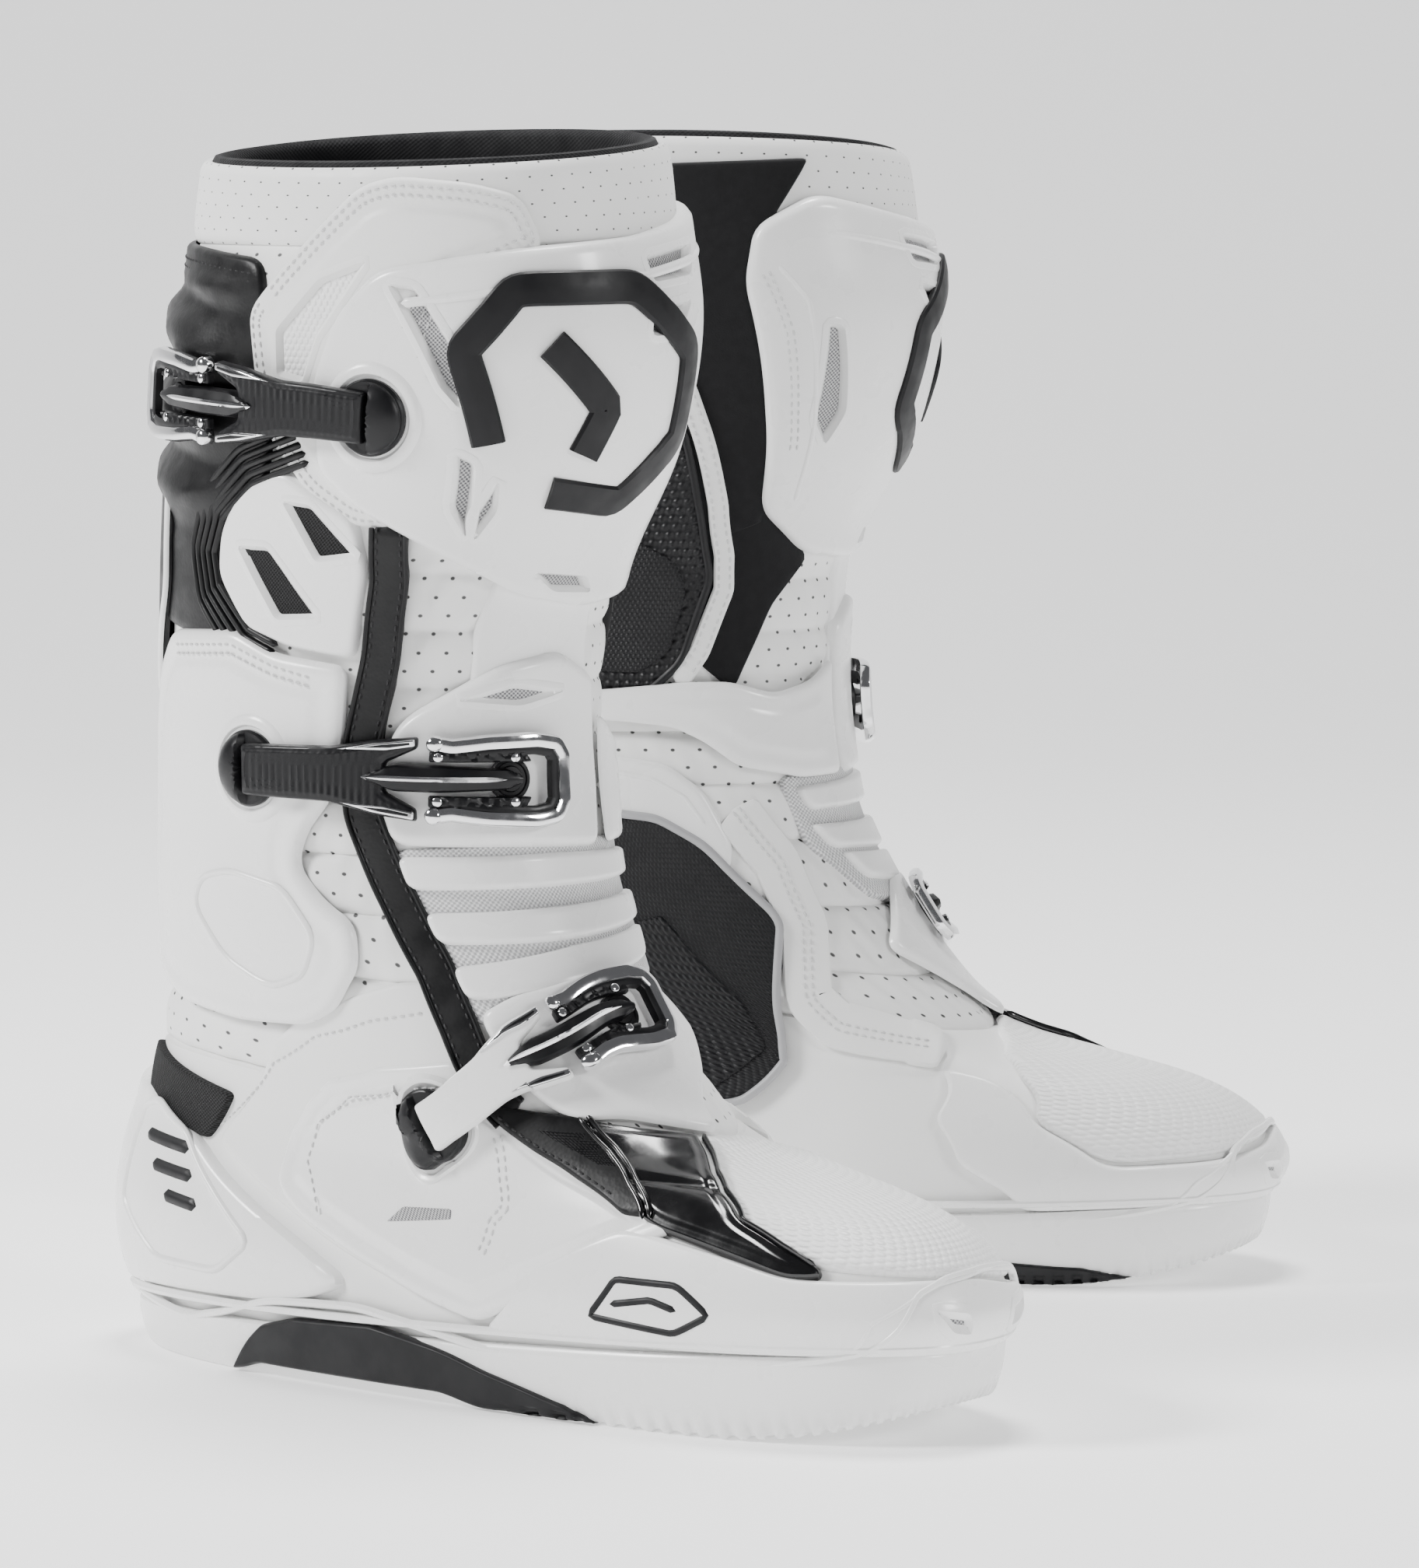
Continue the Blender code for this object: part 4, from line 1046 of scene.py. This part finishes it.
class BOOTS_OT_gaiter(PieceOperator, Operator):
    """Rear gaiter: a Coons patch whose relief is a set of slanted folds, and the flap below it.

    A fold is a power of a sine of the height, shifted sideways with the angle.
    """
    bl_idname = "boots.gaiter"
    bl_label = "Rear gaiter"

    def build(self, side, look):
        def folds(u, v, d):
            place = v + 6.0 * np.sin(np.radians(u * 1.7)) + 3.0 * np.sin(np.radians(u * 4.1 + v))
            roll = np.abs(np.sin((place - 6.0) * np.pi / 24.0)) ** 1.6
            fine = 0.35 * np.sin(place * 0.55 + u * 0.21) * np.sin(u * 0.13 + 1.0)
            high = ramp(v, 262, 292) * (1 - ramp(v, 346, 356))
            return (5.0 * roll + fine) * high * ramp(np.abs(u - 98), 4, 30) + 0.2

        sheet = slab(surface, GAITER, (0, 3, 6, 9), 0.8, 3.2, 6.0, 2.0, 2.0, folds)
        item = add_piece(side, "gaiter", sheet, "black_leather", "rear_gaiter", "cuff", "rear_gaiter")
        flap = slab(surface, REAR_FLAP, (0, 3, 5, 7), 2.6, 5.8, 6.0, 1.4, 2.2)
        add_piece(side, "rear_flap", flap, "black_leather", "rear_gaiter", "cuff")
        add_piece(side, "rear_flap_edge", ridge(REAR_FLAP, 5.2, 1.1, 1.0, 6.0), "white_plastic",
                  "rear_gaiter", "cuff")
        line = [(88, 301), (104, 293), (114, 280), (117, 266), (114, 252), (102, 236), (92, 231)]
        course = Course(surface, line, 8, False, 3.0)
        pipes = [carried(course, [(x + w, h) for x, h in round_profile(1.2, 3.6)], taper=2.0)
                 for w in (-6, -3, 0, 3, 6)]
        add_piece(side, "gaiter_piping", merged(pipes), "black_leather", "rear_gaiter", "cuff")
        top = [(106, 352), (128, 355), (180, 359), (230, 354)]
        add_piece(side, "gaiter_stitches", seam_rows(top, 3.2, 1.3), "black_thread", "rear_gaiter", "cuff")


class BOOTS_OT_armour(PieceOperator, Operator):
    """Moulded plates: Coons patches raised as quarter circles at their borders.

    Each relief is a smooth step of the distance from the border or from a window's outline.
    """
    bl_idname = "boots.armour"
    bl_label = "Moulded armour"

    def build(self, side, look):
        cuts = [hollow(surface, line, 4.2) for line, _ in SHIN_WINDOWS]

        def shin_form(u, v, d):
            keel = 0.8 * np.exp(-((u - 14) / 12) ** 2) * (1 - ramp(v, 290, 325))
            return keel * ramp(d, 3, 8)

        plate = slab(surface, SHIN, (0, 5, 8, 13), 1.4, 6.6, 6.0, 3.4, 1.4, added(shin_form, *cuts))
        add_piece(side, "shin_plate_shell", plate, "white_plastic", "shin_plate", "cuff", "shin_plate")
        add_windows(side, "shin_window", SHIN_WINDOWS, 6.7, 2.6, "grey_mesh", "shin_plate", "cuff")
        band_profile = [(-5.4, 5.6), (-5.4, 7.6), (-4.6, 8.4), (-1.0, 8.7), (1.0, 8.7), (4.6, 8.4),
                        (5.4, 7.6), (5.4, 5.6)]
        ring = Course(surface, BADGE_RING, 12, False, 7.0)
        bar = Course(surface, BADGE_BAR, 12, False, 7.0)
        badge = merged([carried(ring, band_profile), carried(bar, band_profile)])
        add_piece(side, "shin_badge", badge, "rubber", "shin_plate", "cuff")
        rib = [(-57, 352), (-50, 340), (-44, 300), (-40, 272)]
        sewn = seam_rows([(-60, 350), (-54, 330), (-49, 300), (-46, 286)], 6.5, 1.2)
        add_piece(side, "shin_stitches", sewn, "thread", "shin_plate", "cuff")
        brow = [ridge([(66, 345), (40, 349), (8, 352), (-20, 357), (-44, 363)], 6.4, 1.5, 0.9, closed=False),
                ridge(rib, 6.3, 1.2, 0.8, closed=False)]
        add_piece(side, "shin_ridges", merged(brow), "white_plastic", "shin_plate", "cuff")

        def calf_form(u, v, d):
            boss = 0.8 * np.exp(-(((u - 101) * 0.95) ** 2 + (v - 198) ** 2) / 420.0)
            return boss - 0.5 * ramp(d, 4, 8) + 0.5 * ramp(d, 9, 12)

        plate = slab(surface, CALF, (0, 3, 11, 15), 3.2, 6.4, 5.0, 3.4, 1.6, calf_form)
        add_piece(side, "calf_plate_shell", plate, "white_plastic", "calf_plate", "cuff", "calf_plate")
        add_piece(side, "calf_hexagon", ridge(CALF_HEX, 6.5, 1.1, 0.8, 5.0), "white_plastic", "calf_plate",
                  "cuff")
        sewn = seam_rows([(126, 233), (104, 235), (91, 229), (76, 225)], 6.4, 1.4)
        add_piece(side, "calf_stitches", sewn, "thread", "calf_plate", "cuff")

        eye = hollow(surface, FLAP_WINDOW, 3.0)
        plate = slab(surface, FLAP, (1, 4, 6, 8), 1.8, 6.4, 5.0, 3.0, 1.6, eye)
        add_piece(side, "buckle_flap_shell", plate, "white_plastic", "buckle_flap", "cuff", "buckle_flap")
        lip, floor = window(surface, FLAP_WINDOW, 6.4, 1.6, (0, 1, 2, 3))
        add_piece(side, "flap_window_lip", lip, "white_plastic", "buckle_flap", "cuff")
        add_piece(side, "flap_window_mesh", floor, "grey_mesh", "buckle_flap", "cuff")

        plate = slab(surface, INSTEP, (0, 5, 8, 11), 4.2, 7.0, 4.0, 2.4, 1.6)
        add_piece(side, "instep_flap_shell", plate, "white_plastic", "instep_flap", "foot", "instep_flap")

        def vamp_form(u, v, d):
            return 0.6 * ramp(d, 3, 5) - 0.7 * np.exp(-((v - 78 - (u - 50) * 0.2) / 2.0) ** 2)

        plate = slab(surface, VAMP, (0, 2, 8, 10), 1.2, 4.6, 3.0, 1.8, 1.4, vamp_form)
        add_piece(side, "vamp_leather", plate, "patent", "vamp_shield", "foot", "vamp_shield")
        edge = [(14, 101), (21, 94), (33, 84), (41, 75), (48, 64), (46, 55), (43, 48)]
        add_piece(side, "vamp_piping", ridge(edge, 4.6, 0.9, 1.2, closed=False), "patent", "vamp_shield",
                  "foot")
        line = [(64, 104), (64, 84), (66, 68)]
        add_piece(side, "vamp_stitches", seam_rows(line, 5.3, single=True), "black_thread", "vamp_shield",
                  "foot")
        flank = [(67, 108), (43, 107), (48, 93), (58, 76), (65, 64), (69, 64), (67, 84)]
        plate = slab(surface, flank, (0, 1, 4, 5), 2.0, 5.2, 2.0, 1.4, 1.6)
        add_piece(side, "vamp_flank", plate, "black_leather", "vamp_shield", "foot")
        line = [(43, 107), (48, 93), (58, 76), (65, 63)]
        course = Course(surface, line, 8, False, 5.0)
        pipes = [carried(course, [(x + w, h) for x, h in round_profile(0.9, 5.3)], taper=1.5)
                 for w in (-1.4, 1.2)]
        add_piece(side, "vamp_pipes", merged(pipes), "patent", "vamp_shield", "foot")
        patch = slab(surface, TOE_PAD, (0, 4, 9, 12), 0.8, 3.4, 5.0, 1.6, 2.0)
        add_piece(side, "toe_pad", patch, "textured", "toe_cap", "foot")

        cuts = [hollow(surface, line, 3.2, 1.5) for line, _ in TOE_VENTS]

        def toe_form(u, v, d):
            return 0.4 * np.exp(-((v - 30) / 7.0) ** 2) * (1 - ramp(np.abs(u), 30, 44))

        plate = slab(surface, TOE_CAP, (0, 13, 17, 22), 0.8, 4.6, 4.0, 2.2, 1.6, added(toe_form, *cuts))
        add_piece(side, "toe_cap_shell", plate, "white_plastic", "toe_cap", "foot", "toe_cap")
        add_windows(side, "toe_vent", TOE_VENTS, 5.2, 1.8, "grey_mesh", "toe_cap", "foot", 1.5)
        bumper = [(40, 20), (37, 30), (22, 40), (0, 43), (-22, 40), (-38, 28), (-42, 19)]
        add_piece(side, "toe_bumper_edge", ridge(bumper, 4.4, 1.0, 0.7, closed=False), "white_plastic",
                  "toe_cap", "foot")
        badge = [(84, 30), (78, 42), (68, 41), (64, 32), (70, 26)]
        mark = merged([ridge(badge, 4.4, 1.3, 0.8, 2.0),
                       ridge([(80, 34), (73, 36), (69, 33)], 4.4, 1.3, 0.8, closed=False)])
        add_piece(side, "toe_badge", mark, "rubber", "toe_cap", "foot")

        def shell_form(u, v, d):
            return 0.7 * ramp(d, 8.5, 10.0) - 0.5 * np.exp(-((d - 6) / 1.4) ** 2)

        plate = slab(surface, FOOT_SHELL, (0, 2, 5, 12), 2.0, 4.2, 5.0, 2.0, 1.5, shell_form)
        add_piece(side, "foot_shell_plate", plate, "white_plastic", "foot_shell", "foot", "foot_shell")
        patch = slab(surface, ANKLE_WING, (0, 2, 8, 11), 0.8, 3.0, 5.0, 1.8, 1.8)
        add_piece(side, "ankle_wing", patch, "white_leather", "ankle_bellows", "bend")
        upper = [(127, 79), (120, 92), (112, 106), (98, 118), (80, 126), (62, 131)]
        add_piece(side, "ankle_wing_stitches", seam_rows(upper, 3.0, single=True), "thread",
                  "ankle_bellows", "bend")
        inner = [(114, 54), (113, 72), (108, 88), (98, 101), (82, 108), (66, 112)]
        double = [(70, 96), (84, 74), (93, 58), (98, 42)]
        sewn = [seam_rows(inner, 4.9, single=True), seam_rows(double, 4.9, 1.3)]
        add_piece(side, "foot_shell_stitches", merged(sewn), "thread", "foot_shell", "foot")
        grille = [(97, 61), (103, 60), (106, 54), (98, 57)]
        patch = slab(surface, grille, (0, 1, 2, 3), 4.0, 5.3, 1.0, 0.3, 1.0)
        add_piece(side, "foot_shell_grille", patch, "grey_mesh", "foot_shell", "foot")

        plate = slab(surface, HEEL, (0, 2, 5, 7), 0.8, 4.8, 5.0, 2.6, 1.8)
        add_piece(side, "heel_counter_shell", plate, "white_plastic", "heel_counter", "foot",
                  "heel_counter")
        mark = [(360 - a, t) for a, t in HEEL_RIDGE]
        ridges = merged([ridge(HEEL_RIDGE, 4.8, 1.3, 1.0, 4.0), ridge(mark, 4.8, 1.3, 1.0, 4.0)])
        add_piece(side, "heel_ridges", ridges, "white_plastic", "heel_counter", "foot")
        bars = [ridge([(143 - k * 3.6, 71 - k * 9), (132 - k * 1.0, 69 - k * 9)], 4.6, 2.4, 1.1,
                      closed=False) for k in (0, 1, 2)]
        add_piece(side, "heel_badge", merged(bars), "rubber", "heel_counter", "foot")

        def medial_form(u, v, d):
            return 0.5 * ramp(d, 6, 9)

        plate = slab(surface, MEDIAL, (0, 7, 8, 16), 5.0, 6.9, 4.0, 2.8, 1.8, medial_form)
        add_piece(side, "medial_plate_shell", plate, "white_plastic", "medial_plate", "cuff",
                  "medial_plate")


class BOOTS_OT_grips(PieceOperator, Operator):
    """Inner grips: studded rubber Coons patches with a grey rim carried round them."""
    bl_idname = "boots.grips"
    bl_label = "Inner grips"

    def build(self, side, look):
        patch = slab(surface, GUARD, (2, 5, 8, 10), 1.0, 4.8, 4.0, 1.6, 1.8)
        add_piece(side, "ankle_grip", patch, "fine_grip", "medial_guard", "foot", "medial_guard")
        patch = slab(surface, GUARD_INSET, (1, 3, 4, 6), 4.0, 5.5, 3.0, 0.8, 2.0)
        add_piece(side, "ankle_grip_studs", patch, "grip", "medial_guard", "foot")
        add_piece(side, "ankle_grip_rim", ridge(GUARD, 4.6, 1.5, 1.2, 5.0), "grey_rim", "medial_guard",
                  "foot")
        patch = slab(surface, PIVOT_COVER, (0, 3, 6, 9), 2.4, 4.2, 5.0, 2.4, 1.6)
        add_piece(side, "pivot_cover", patch, "white_plastic", "medial_guard", "foot")
        arc = [(-62, 158), (-66, 167), (-74, 173), (-90, 177), (-104, 176), (-113, 168)]
        add_piece(side, "pivot_arcs", ridge(arc, 4.2, 0.8, 0.5, closed=False), "white_plastic",
                  "medial_guard", "foot")
        patch = slab(surface, CALF_GRIP, (0, 2, 5, 7), 1.2, 4.6, 5.0, 1.6, 1.8)
        add_piece(side, "calf_grip", patch, "grip", "medial_plate", "cuff")
        patch = slab(surface, GRIP_INSET, (0, 2, 4, 6), 4.0, 5.2, 4.0, 0.8, 2.0)
        add_piece(side, "calf_grip_inset", patch, "fine_grip", "medial_plate", "cuff")
        add_piece(side, "calf_grip_rim", ridge(CALF_GRIP, 4.4, 1.4, 1.0, 5.0), "rubber", "medial_plate",
                  "cuff")


def post_meshes(track, centre):
    """Round post: a flange, and a dome over its rear half behind the slot of the strap."""
    rim = [(0.01, 1.5), (11.9, 1.5), (12.2, 6.8), (12.2, 8.0), (11.6, 8.7), (10.4, 8.9), (0.01, 9.0)]
    rings, sides, wide = 14, 48, 11.4
    radius = np.sin(np.linspace(0, 1, rings) * np.pi / 2) * wide
    radius[0] = 0.01
    a = np.arange(sides) * 2 * np.pi / sides
    along, across = radius[:, None] * np.cos(a), radius[:, None] * np.sin(a)
    rise = 4.4 * np.sqrt(np.clip(1 - (radius[:, None] / wide) ** 2, 0, 1)) * (1 - ramp(along, -1.2, -0.3))
    low = np.full((1, sides), 8.2)
    points = np.concatenate([track.place(centre + along, across, 8.9 + rise),
                             track.place(centre + along[-1:], across[-1:], low),
                             track.place(centre + along[-1:] * 0.02, across[-1:] * 0.02, low)])
    uv = np.stack(np.meshgrid(np.arange(rings + 2.0), np.arange(sides + 1.0), indexing="ij"), -1)
    return merged([disc(track.place, centre, 0.0, rim, sides), skin(points, uv)])


def boss_mesh(track, centre, base, wide):
    """White ring moulded round a post, with a trough between it and the dome."""
    profile = [(0.01, base - 1.4), (wide, base - 1.4), (wide, base - 0.2), (wide - 1.1, base + 0.9),
               (15.0, base + 1.4), (13.8, base + 1.2), (13.1, base + 0.3), (12.8, base - 0.6),
               (0.01, base - 0.6)]
    return disc(track.place, centre, 0.0, profile, 56)


def moved(points, start, sign=1):
    """Points of a strap counted from its post, on one side of its middle line."""
    return [(start + s, sign * w) for s, w in points]


def mirrored(points, start):
    """Outline made of half a strap and its mirror image."""
    return moved(points, start) + moved(points[::-1], start, -1)


class BOOTS_OT_straps(PieceOperator, Operator):
    """Straps: Coons patches on a course round the leg, ribbed across and forked at the end.

    The buckle's spear is a three-sided profile carried along the course to a point.
    """
    bl_idname = "boots.straps"
    bl_label = "Straps"

    def build(self, side, look):
        for key, (_, length, spear, _, _) in STRAPS.items():
            track, c = strap_track(key), POST_AT[key]
            white = key == "instep"
            base, rides = key + "_strap", "foot" if white else "cuff"
            add_piece(side, key + "_dome", post_meshes(track, c), "black_plastic", "post", rides, key
                      + "_post")
            boss = boss_mesh(track, c, 4.6, 16.2) if white else boss_mesh(track, c, 6.6, 17.6)
            add_piece(side, key + "_boss", boss, "white_plastic", "post", rides)

            def ribs(u, v, d):
                return 0.22 * np.sin((u - c) * 2 * np.pi / 2.6) * ramp(d, 1.0, 2.2) + 0.25 * ramp(d, 1.5, 2.5)

            half = [(0.5, 8.2), (length * 0.55, 8.8), (length * 0.8, 11.8), (length + 1, 13.2),
                    (length + 1, 9.4), (length - 9, 4.6)]
            strap = slab(track.place, mirrored(half, c), (0, 3, 8, 11), STRAP_LOW, STRAP_HIGH, 1.2, 1.0, 0.9,
                         None if white else ribs)
            add_piece(side, key + "_strap_body", strap, "white_plastic" if white else "black_plastic",
                      "instep_strap" if white else "strap", base, base)
            bright = [(length * 0.6, 8.2), (length * 0.8, 10.9), (length + 0.2, 12.6), (length + 0.4, 10.2),
                      (length * 0.86, 8.6)]
            dark = [(length * 0.72, 9.2), (length * 0.84, 10.6), (length - 1.2, 11.6), (length - 1.0, 10.8),
                    (length * 0.88, 9.6)]
            inlays = [slab(track.place, moved(bright, c, sign), (0, 2, 3, 4), 12.0, 12.9, 0.6, 0.5, 0.8)
                      for sign in (1, -1)]
            insets = [slab(track.place, moved(dark, c, sign), (0, 2, 3, 4), 12.6, 13.2, 0.3, 0.3, 0.8)
                      for sign in (1, -1)]
            add_piece(side, key + "_strap_inlays", merged(inlays), "chrome", "lever", base)
            add_piece(side, key + "_strap_insets", merged(insets), "black_plastic", "strap", base)

            def roof(u, v, d):
                return 1.3 * np.clip(1 - np.abs(v) / 4.4, 0, 1)

            tongue = [(length - 15, 1.2), (length - 6, 4.4), (length + 8, 4.4), (spear - 5, 3.4),
                      (spear, 1.4)]
            add_piece(side, key + "_spear", slab(track.place, mirrored(tongue, c), (0, 4, 5, 9), 9.5, 12.6,
                                                 0.8, 0.8, 0.7, roof), "black_plastic", "strap", base)
            spine = Course(track.place, [(c + length - 16, 0.0), (c + spear - 4, 0.0)], 0, False, 12.0)
            blade = carried(spine, [(-1.5, 13.0), (0.0, 14.4), (1.5, 13.0), (0.0, 12.4)], taper=9.0)
            add_piece(side, key + "_spine", blade, "chrome", "lever", base)
            catch = [(0.01, 1.5), (6.8, 1.5), (7.0, 7.8), (6.6, 8.6), (5.6, 8.7), (5.2, 8.2), (4.2, 8.2),
                     (3.8, 9.0), (2.4, 9.1), (2.0, 8.5), (0.01, 8.5)]
            swap = [] if key == "calf" else [key + "_catch"]
            add_piece(side, key + "_catch_disc", disc(track.place, c + spear - 3, 0.0, catch, 36),
                      "black_plastic", "catch", rides, *swap)


class BOOTS_OT_buckles(PieceOperator, Operator):
    """Buckles: a polished profile carried along a U-shaped course, with liner, pads and rivets."""
    bl_idname = "boots.buckles"
    bl_label = "Buckles"

    def build(self, side, look):
        def steps(u, v, d):
            return 0.35 * np.sign(np.sin(u * 2 * np.pi / 3.4))

        for key, (_, _, _, near, far) in STRAPS.items():
            track, c, base = strap_track(key), POST_AT[key], key + "_lever"
            arm = [(near + 3.4, 11.4), (near + 9, 10.4), (near + 20, 11.8), (far - 12, 12.4), (far - 5, 11.2),
                   (far - 2.4, 7)]
            course = Course(track.place, mirrored(arm, c), 5, False, 11.0)
            tip = course.place(0, 0, 11.0)
            left, right = (abs(course.place(course.length / 2, w, 11.0) - tip).sum() for w in (1.0, -1.0))
            inner = -1.0 if left > right else 1.0
            metal = [(-2.4, 9.8), (-2.6, 11.4), (-1.9, 13.0), (0.0, 13.6), (1.9, 13.0), (2.6, 11.4),
                     (2.4, 9.8)]
            rivet = [(0.01, 9.8), (2.6, 9.8), (2.7, 12.8), (2.1, 13.8), (1.1, 14.2), (0.01, 14.3)]
            rivets = [disc(track.place, c + near + 3.8, w, rivet, 24) for w in (11.3, -11.3)]
            frame_parts = merged([carried(course, metal, taper=2.5, step=0.8)] + rivets)
            add_piece(side, key + "_buckle_frame", frame_parts, "chrome", "lever", base, base)
            liner = [(inner * w, h) for w, h in ((2.0, 9.6), (2.0, 12.3), (3.2, 12.5), (4.4, 12.0),
                                                 (4.6, 9.6))]
            pad = [(near + 2, 5.2), (near + 2, 9.0), (near + 12, 8.9), (far - 15, 9.0), (far - 13, 5.4)]
            pads = [slab(track.place, moved(pad, c, sign), (0, 1, 3, 4), 9.6, 12.2, 0.8, 0.6, 0.8, steps)
                    for sign in (1, -1)]
            lining = merged([carried(course, liner, 8.0, course.length - 8, 1.0, 2.0)] + pads)
            add_piece(side, key + "_buckle_liner", lining, "black_plastic", "catch", base)
            screw = [(0.01, 11.0), (1.4, 11.0), (1.4, 12.8), (1.0, 13.1), (0.01, 13.1)]
            screws = [disc(track.place, c + s, w, screw, 16) for s in (near + 5, far - 19)
                      for w in (7.0, -7.0)]
            add_piece(side, key + "_buckle_screws", merged(screws), "chrome", "lever", base)


class BOOTS_OT_stage(Operator):
    """Floor, lamps and camera."""
    bl_idname = "boots.stage"
    bl_label = "Stage"

    def sheet(self, size):
        """Paper floor that curves up behind the boots as a quarter circle."""
        bend = np.linspace(0.1, 1, 14) * np.pi / 2
        run = np.concatenate([[-size / 2, 0.0, 1.2, COVE_START], COVE_START + COVE_RADIUS * np.sin(bend),
                              [COVE_START + COVE_RADIUS]])
        rise = np.concatenate([[0, 0, 0, 0], COVE_RADIUS - COVE_RADIUS * np.cos(bend), [COVE_TOP]])
        away = np.array([0.896, 0.444])
        wide = np.array([-0.444, 0.896]) * size / 2
        points = [(*(away * r + wide * k), z) for r, z in zip(run, rise) for k in (-1, 1)]
        data = bpy.data.meshes.new("floor")
        data.from_pydata(points, [], [(2 * i + 1, 2 * i + 3, 2 * i + 2, 2 * i) for i in range(len(run) - 1)])
        data.shade_smooth()
        paper = Finish("paper", (0.93, 0.93, 0.93), 0.9)
        paper.shader.inputs["Emission Color"].default_value = (1, 1, 1, 1)
        paper.shader.inputs["Emission Strength"].default_value = 0.5
        paper.bump(paper.noise(300.0), 0.05, 0.1)
        data.materials.append(paper.material)
        return data

    def execute(self, context):
        link = context.scene.collection.objects.link
        floor = bpy.data.objects.new("floor", self.sheet(context.scene.boot_settings.floor_size))
        link(floor)
        for name, spot, width, power in LAMPS:
            lamp = bpy.data.lights.new(name, "AREA")
            lamp.shape, lamp.size, lamp.energy = "SQUARE", width, power
            item = bpy.data.objects.new(name, lamp)
            item.location = spot
            item.rotation_euler = (LAMP_AIM - Vector(spot)).to_track_quat("-Z", "Y").to_euler()
            link(item)
        studio = bpy.data.worlds.new("studio")
        studio.use_nodes = True
        background = studio.node_tree.nodes["Background"]
        background.inputs["Color"].default_value = (0.95, 0.96, 1.0, 1)
        background.inputs["Strength"].default_value = 0.12
        context.scene.world = studio
        view = bpy.data.cameras.new("camera")
        view.lens, view.clip_start = CAMERA_LENS, 0.05
        camera = bpy.data.objects.new("camera", view)
        camera.location = CAMERA_AT
        camera.rotation_euler = (CAMERA_AIM - CAMERA_AT).to_track_quat("-Z", "Y").to_euler()
        link(camera)
        context.scene.camera = camera
        return {"FINISHED"}


PIECE_OPERATORS = (BOOTS_OT_soles, BOOTS_OT_leather, BOOTS_OT_ankle, BOOTS_OT_panels, BOOTS_OT_gaiter,
                   BOOTS_OT_armour, BOOTS_OT_grips, BOOTS_OT_straps, BOOTS_OT_buckles, BOOTS_OT_stage)


class BOOTS_PT_panel(Panel):
    """Sidebar panel with the settings and one button per group of pieces."""
    bl_idname = "BOOTS_PT_panel"
    bl_label = "Riding boots"
    bl_space_type = "VIEW_3D"
    bl_region_type = "UI"
    bl_category = "Boots"

    def draw(self, context):
        for name in BootSettings.__annotations__:
            self.layout.prop(context.scene.boot_settings, name)
        for operator in PIECE_OPERATORS:
            self.layout.operator(operator.bl_idname)


CLASSES = (BootSettings, *PIECE_OPERATORS, BOOTS_PT_panel)


def register():
    for item in CLASSES:
        bpy.utils.register_class(item)
    bpy.types.Scene.boot_settings = PointerProperty(type=BootSettings)


def unregister():
    del bpy.types.Scene.boot_settings
    for item in reversed(CLASSES):
        bpy.utils.unregister_class(item)


def main():
    register()
    for operator in PIECE_OPERATORS:
        group, name = operator.bl_idname.split(".")
        getattr(getattr(bpy.ops, group), name)()


if __name__ == "__main__":
    main()
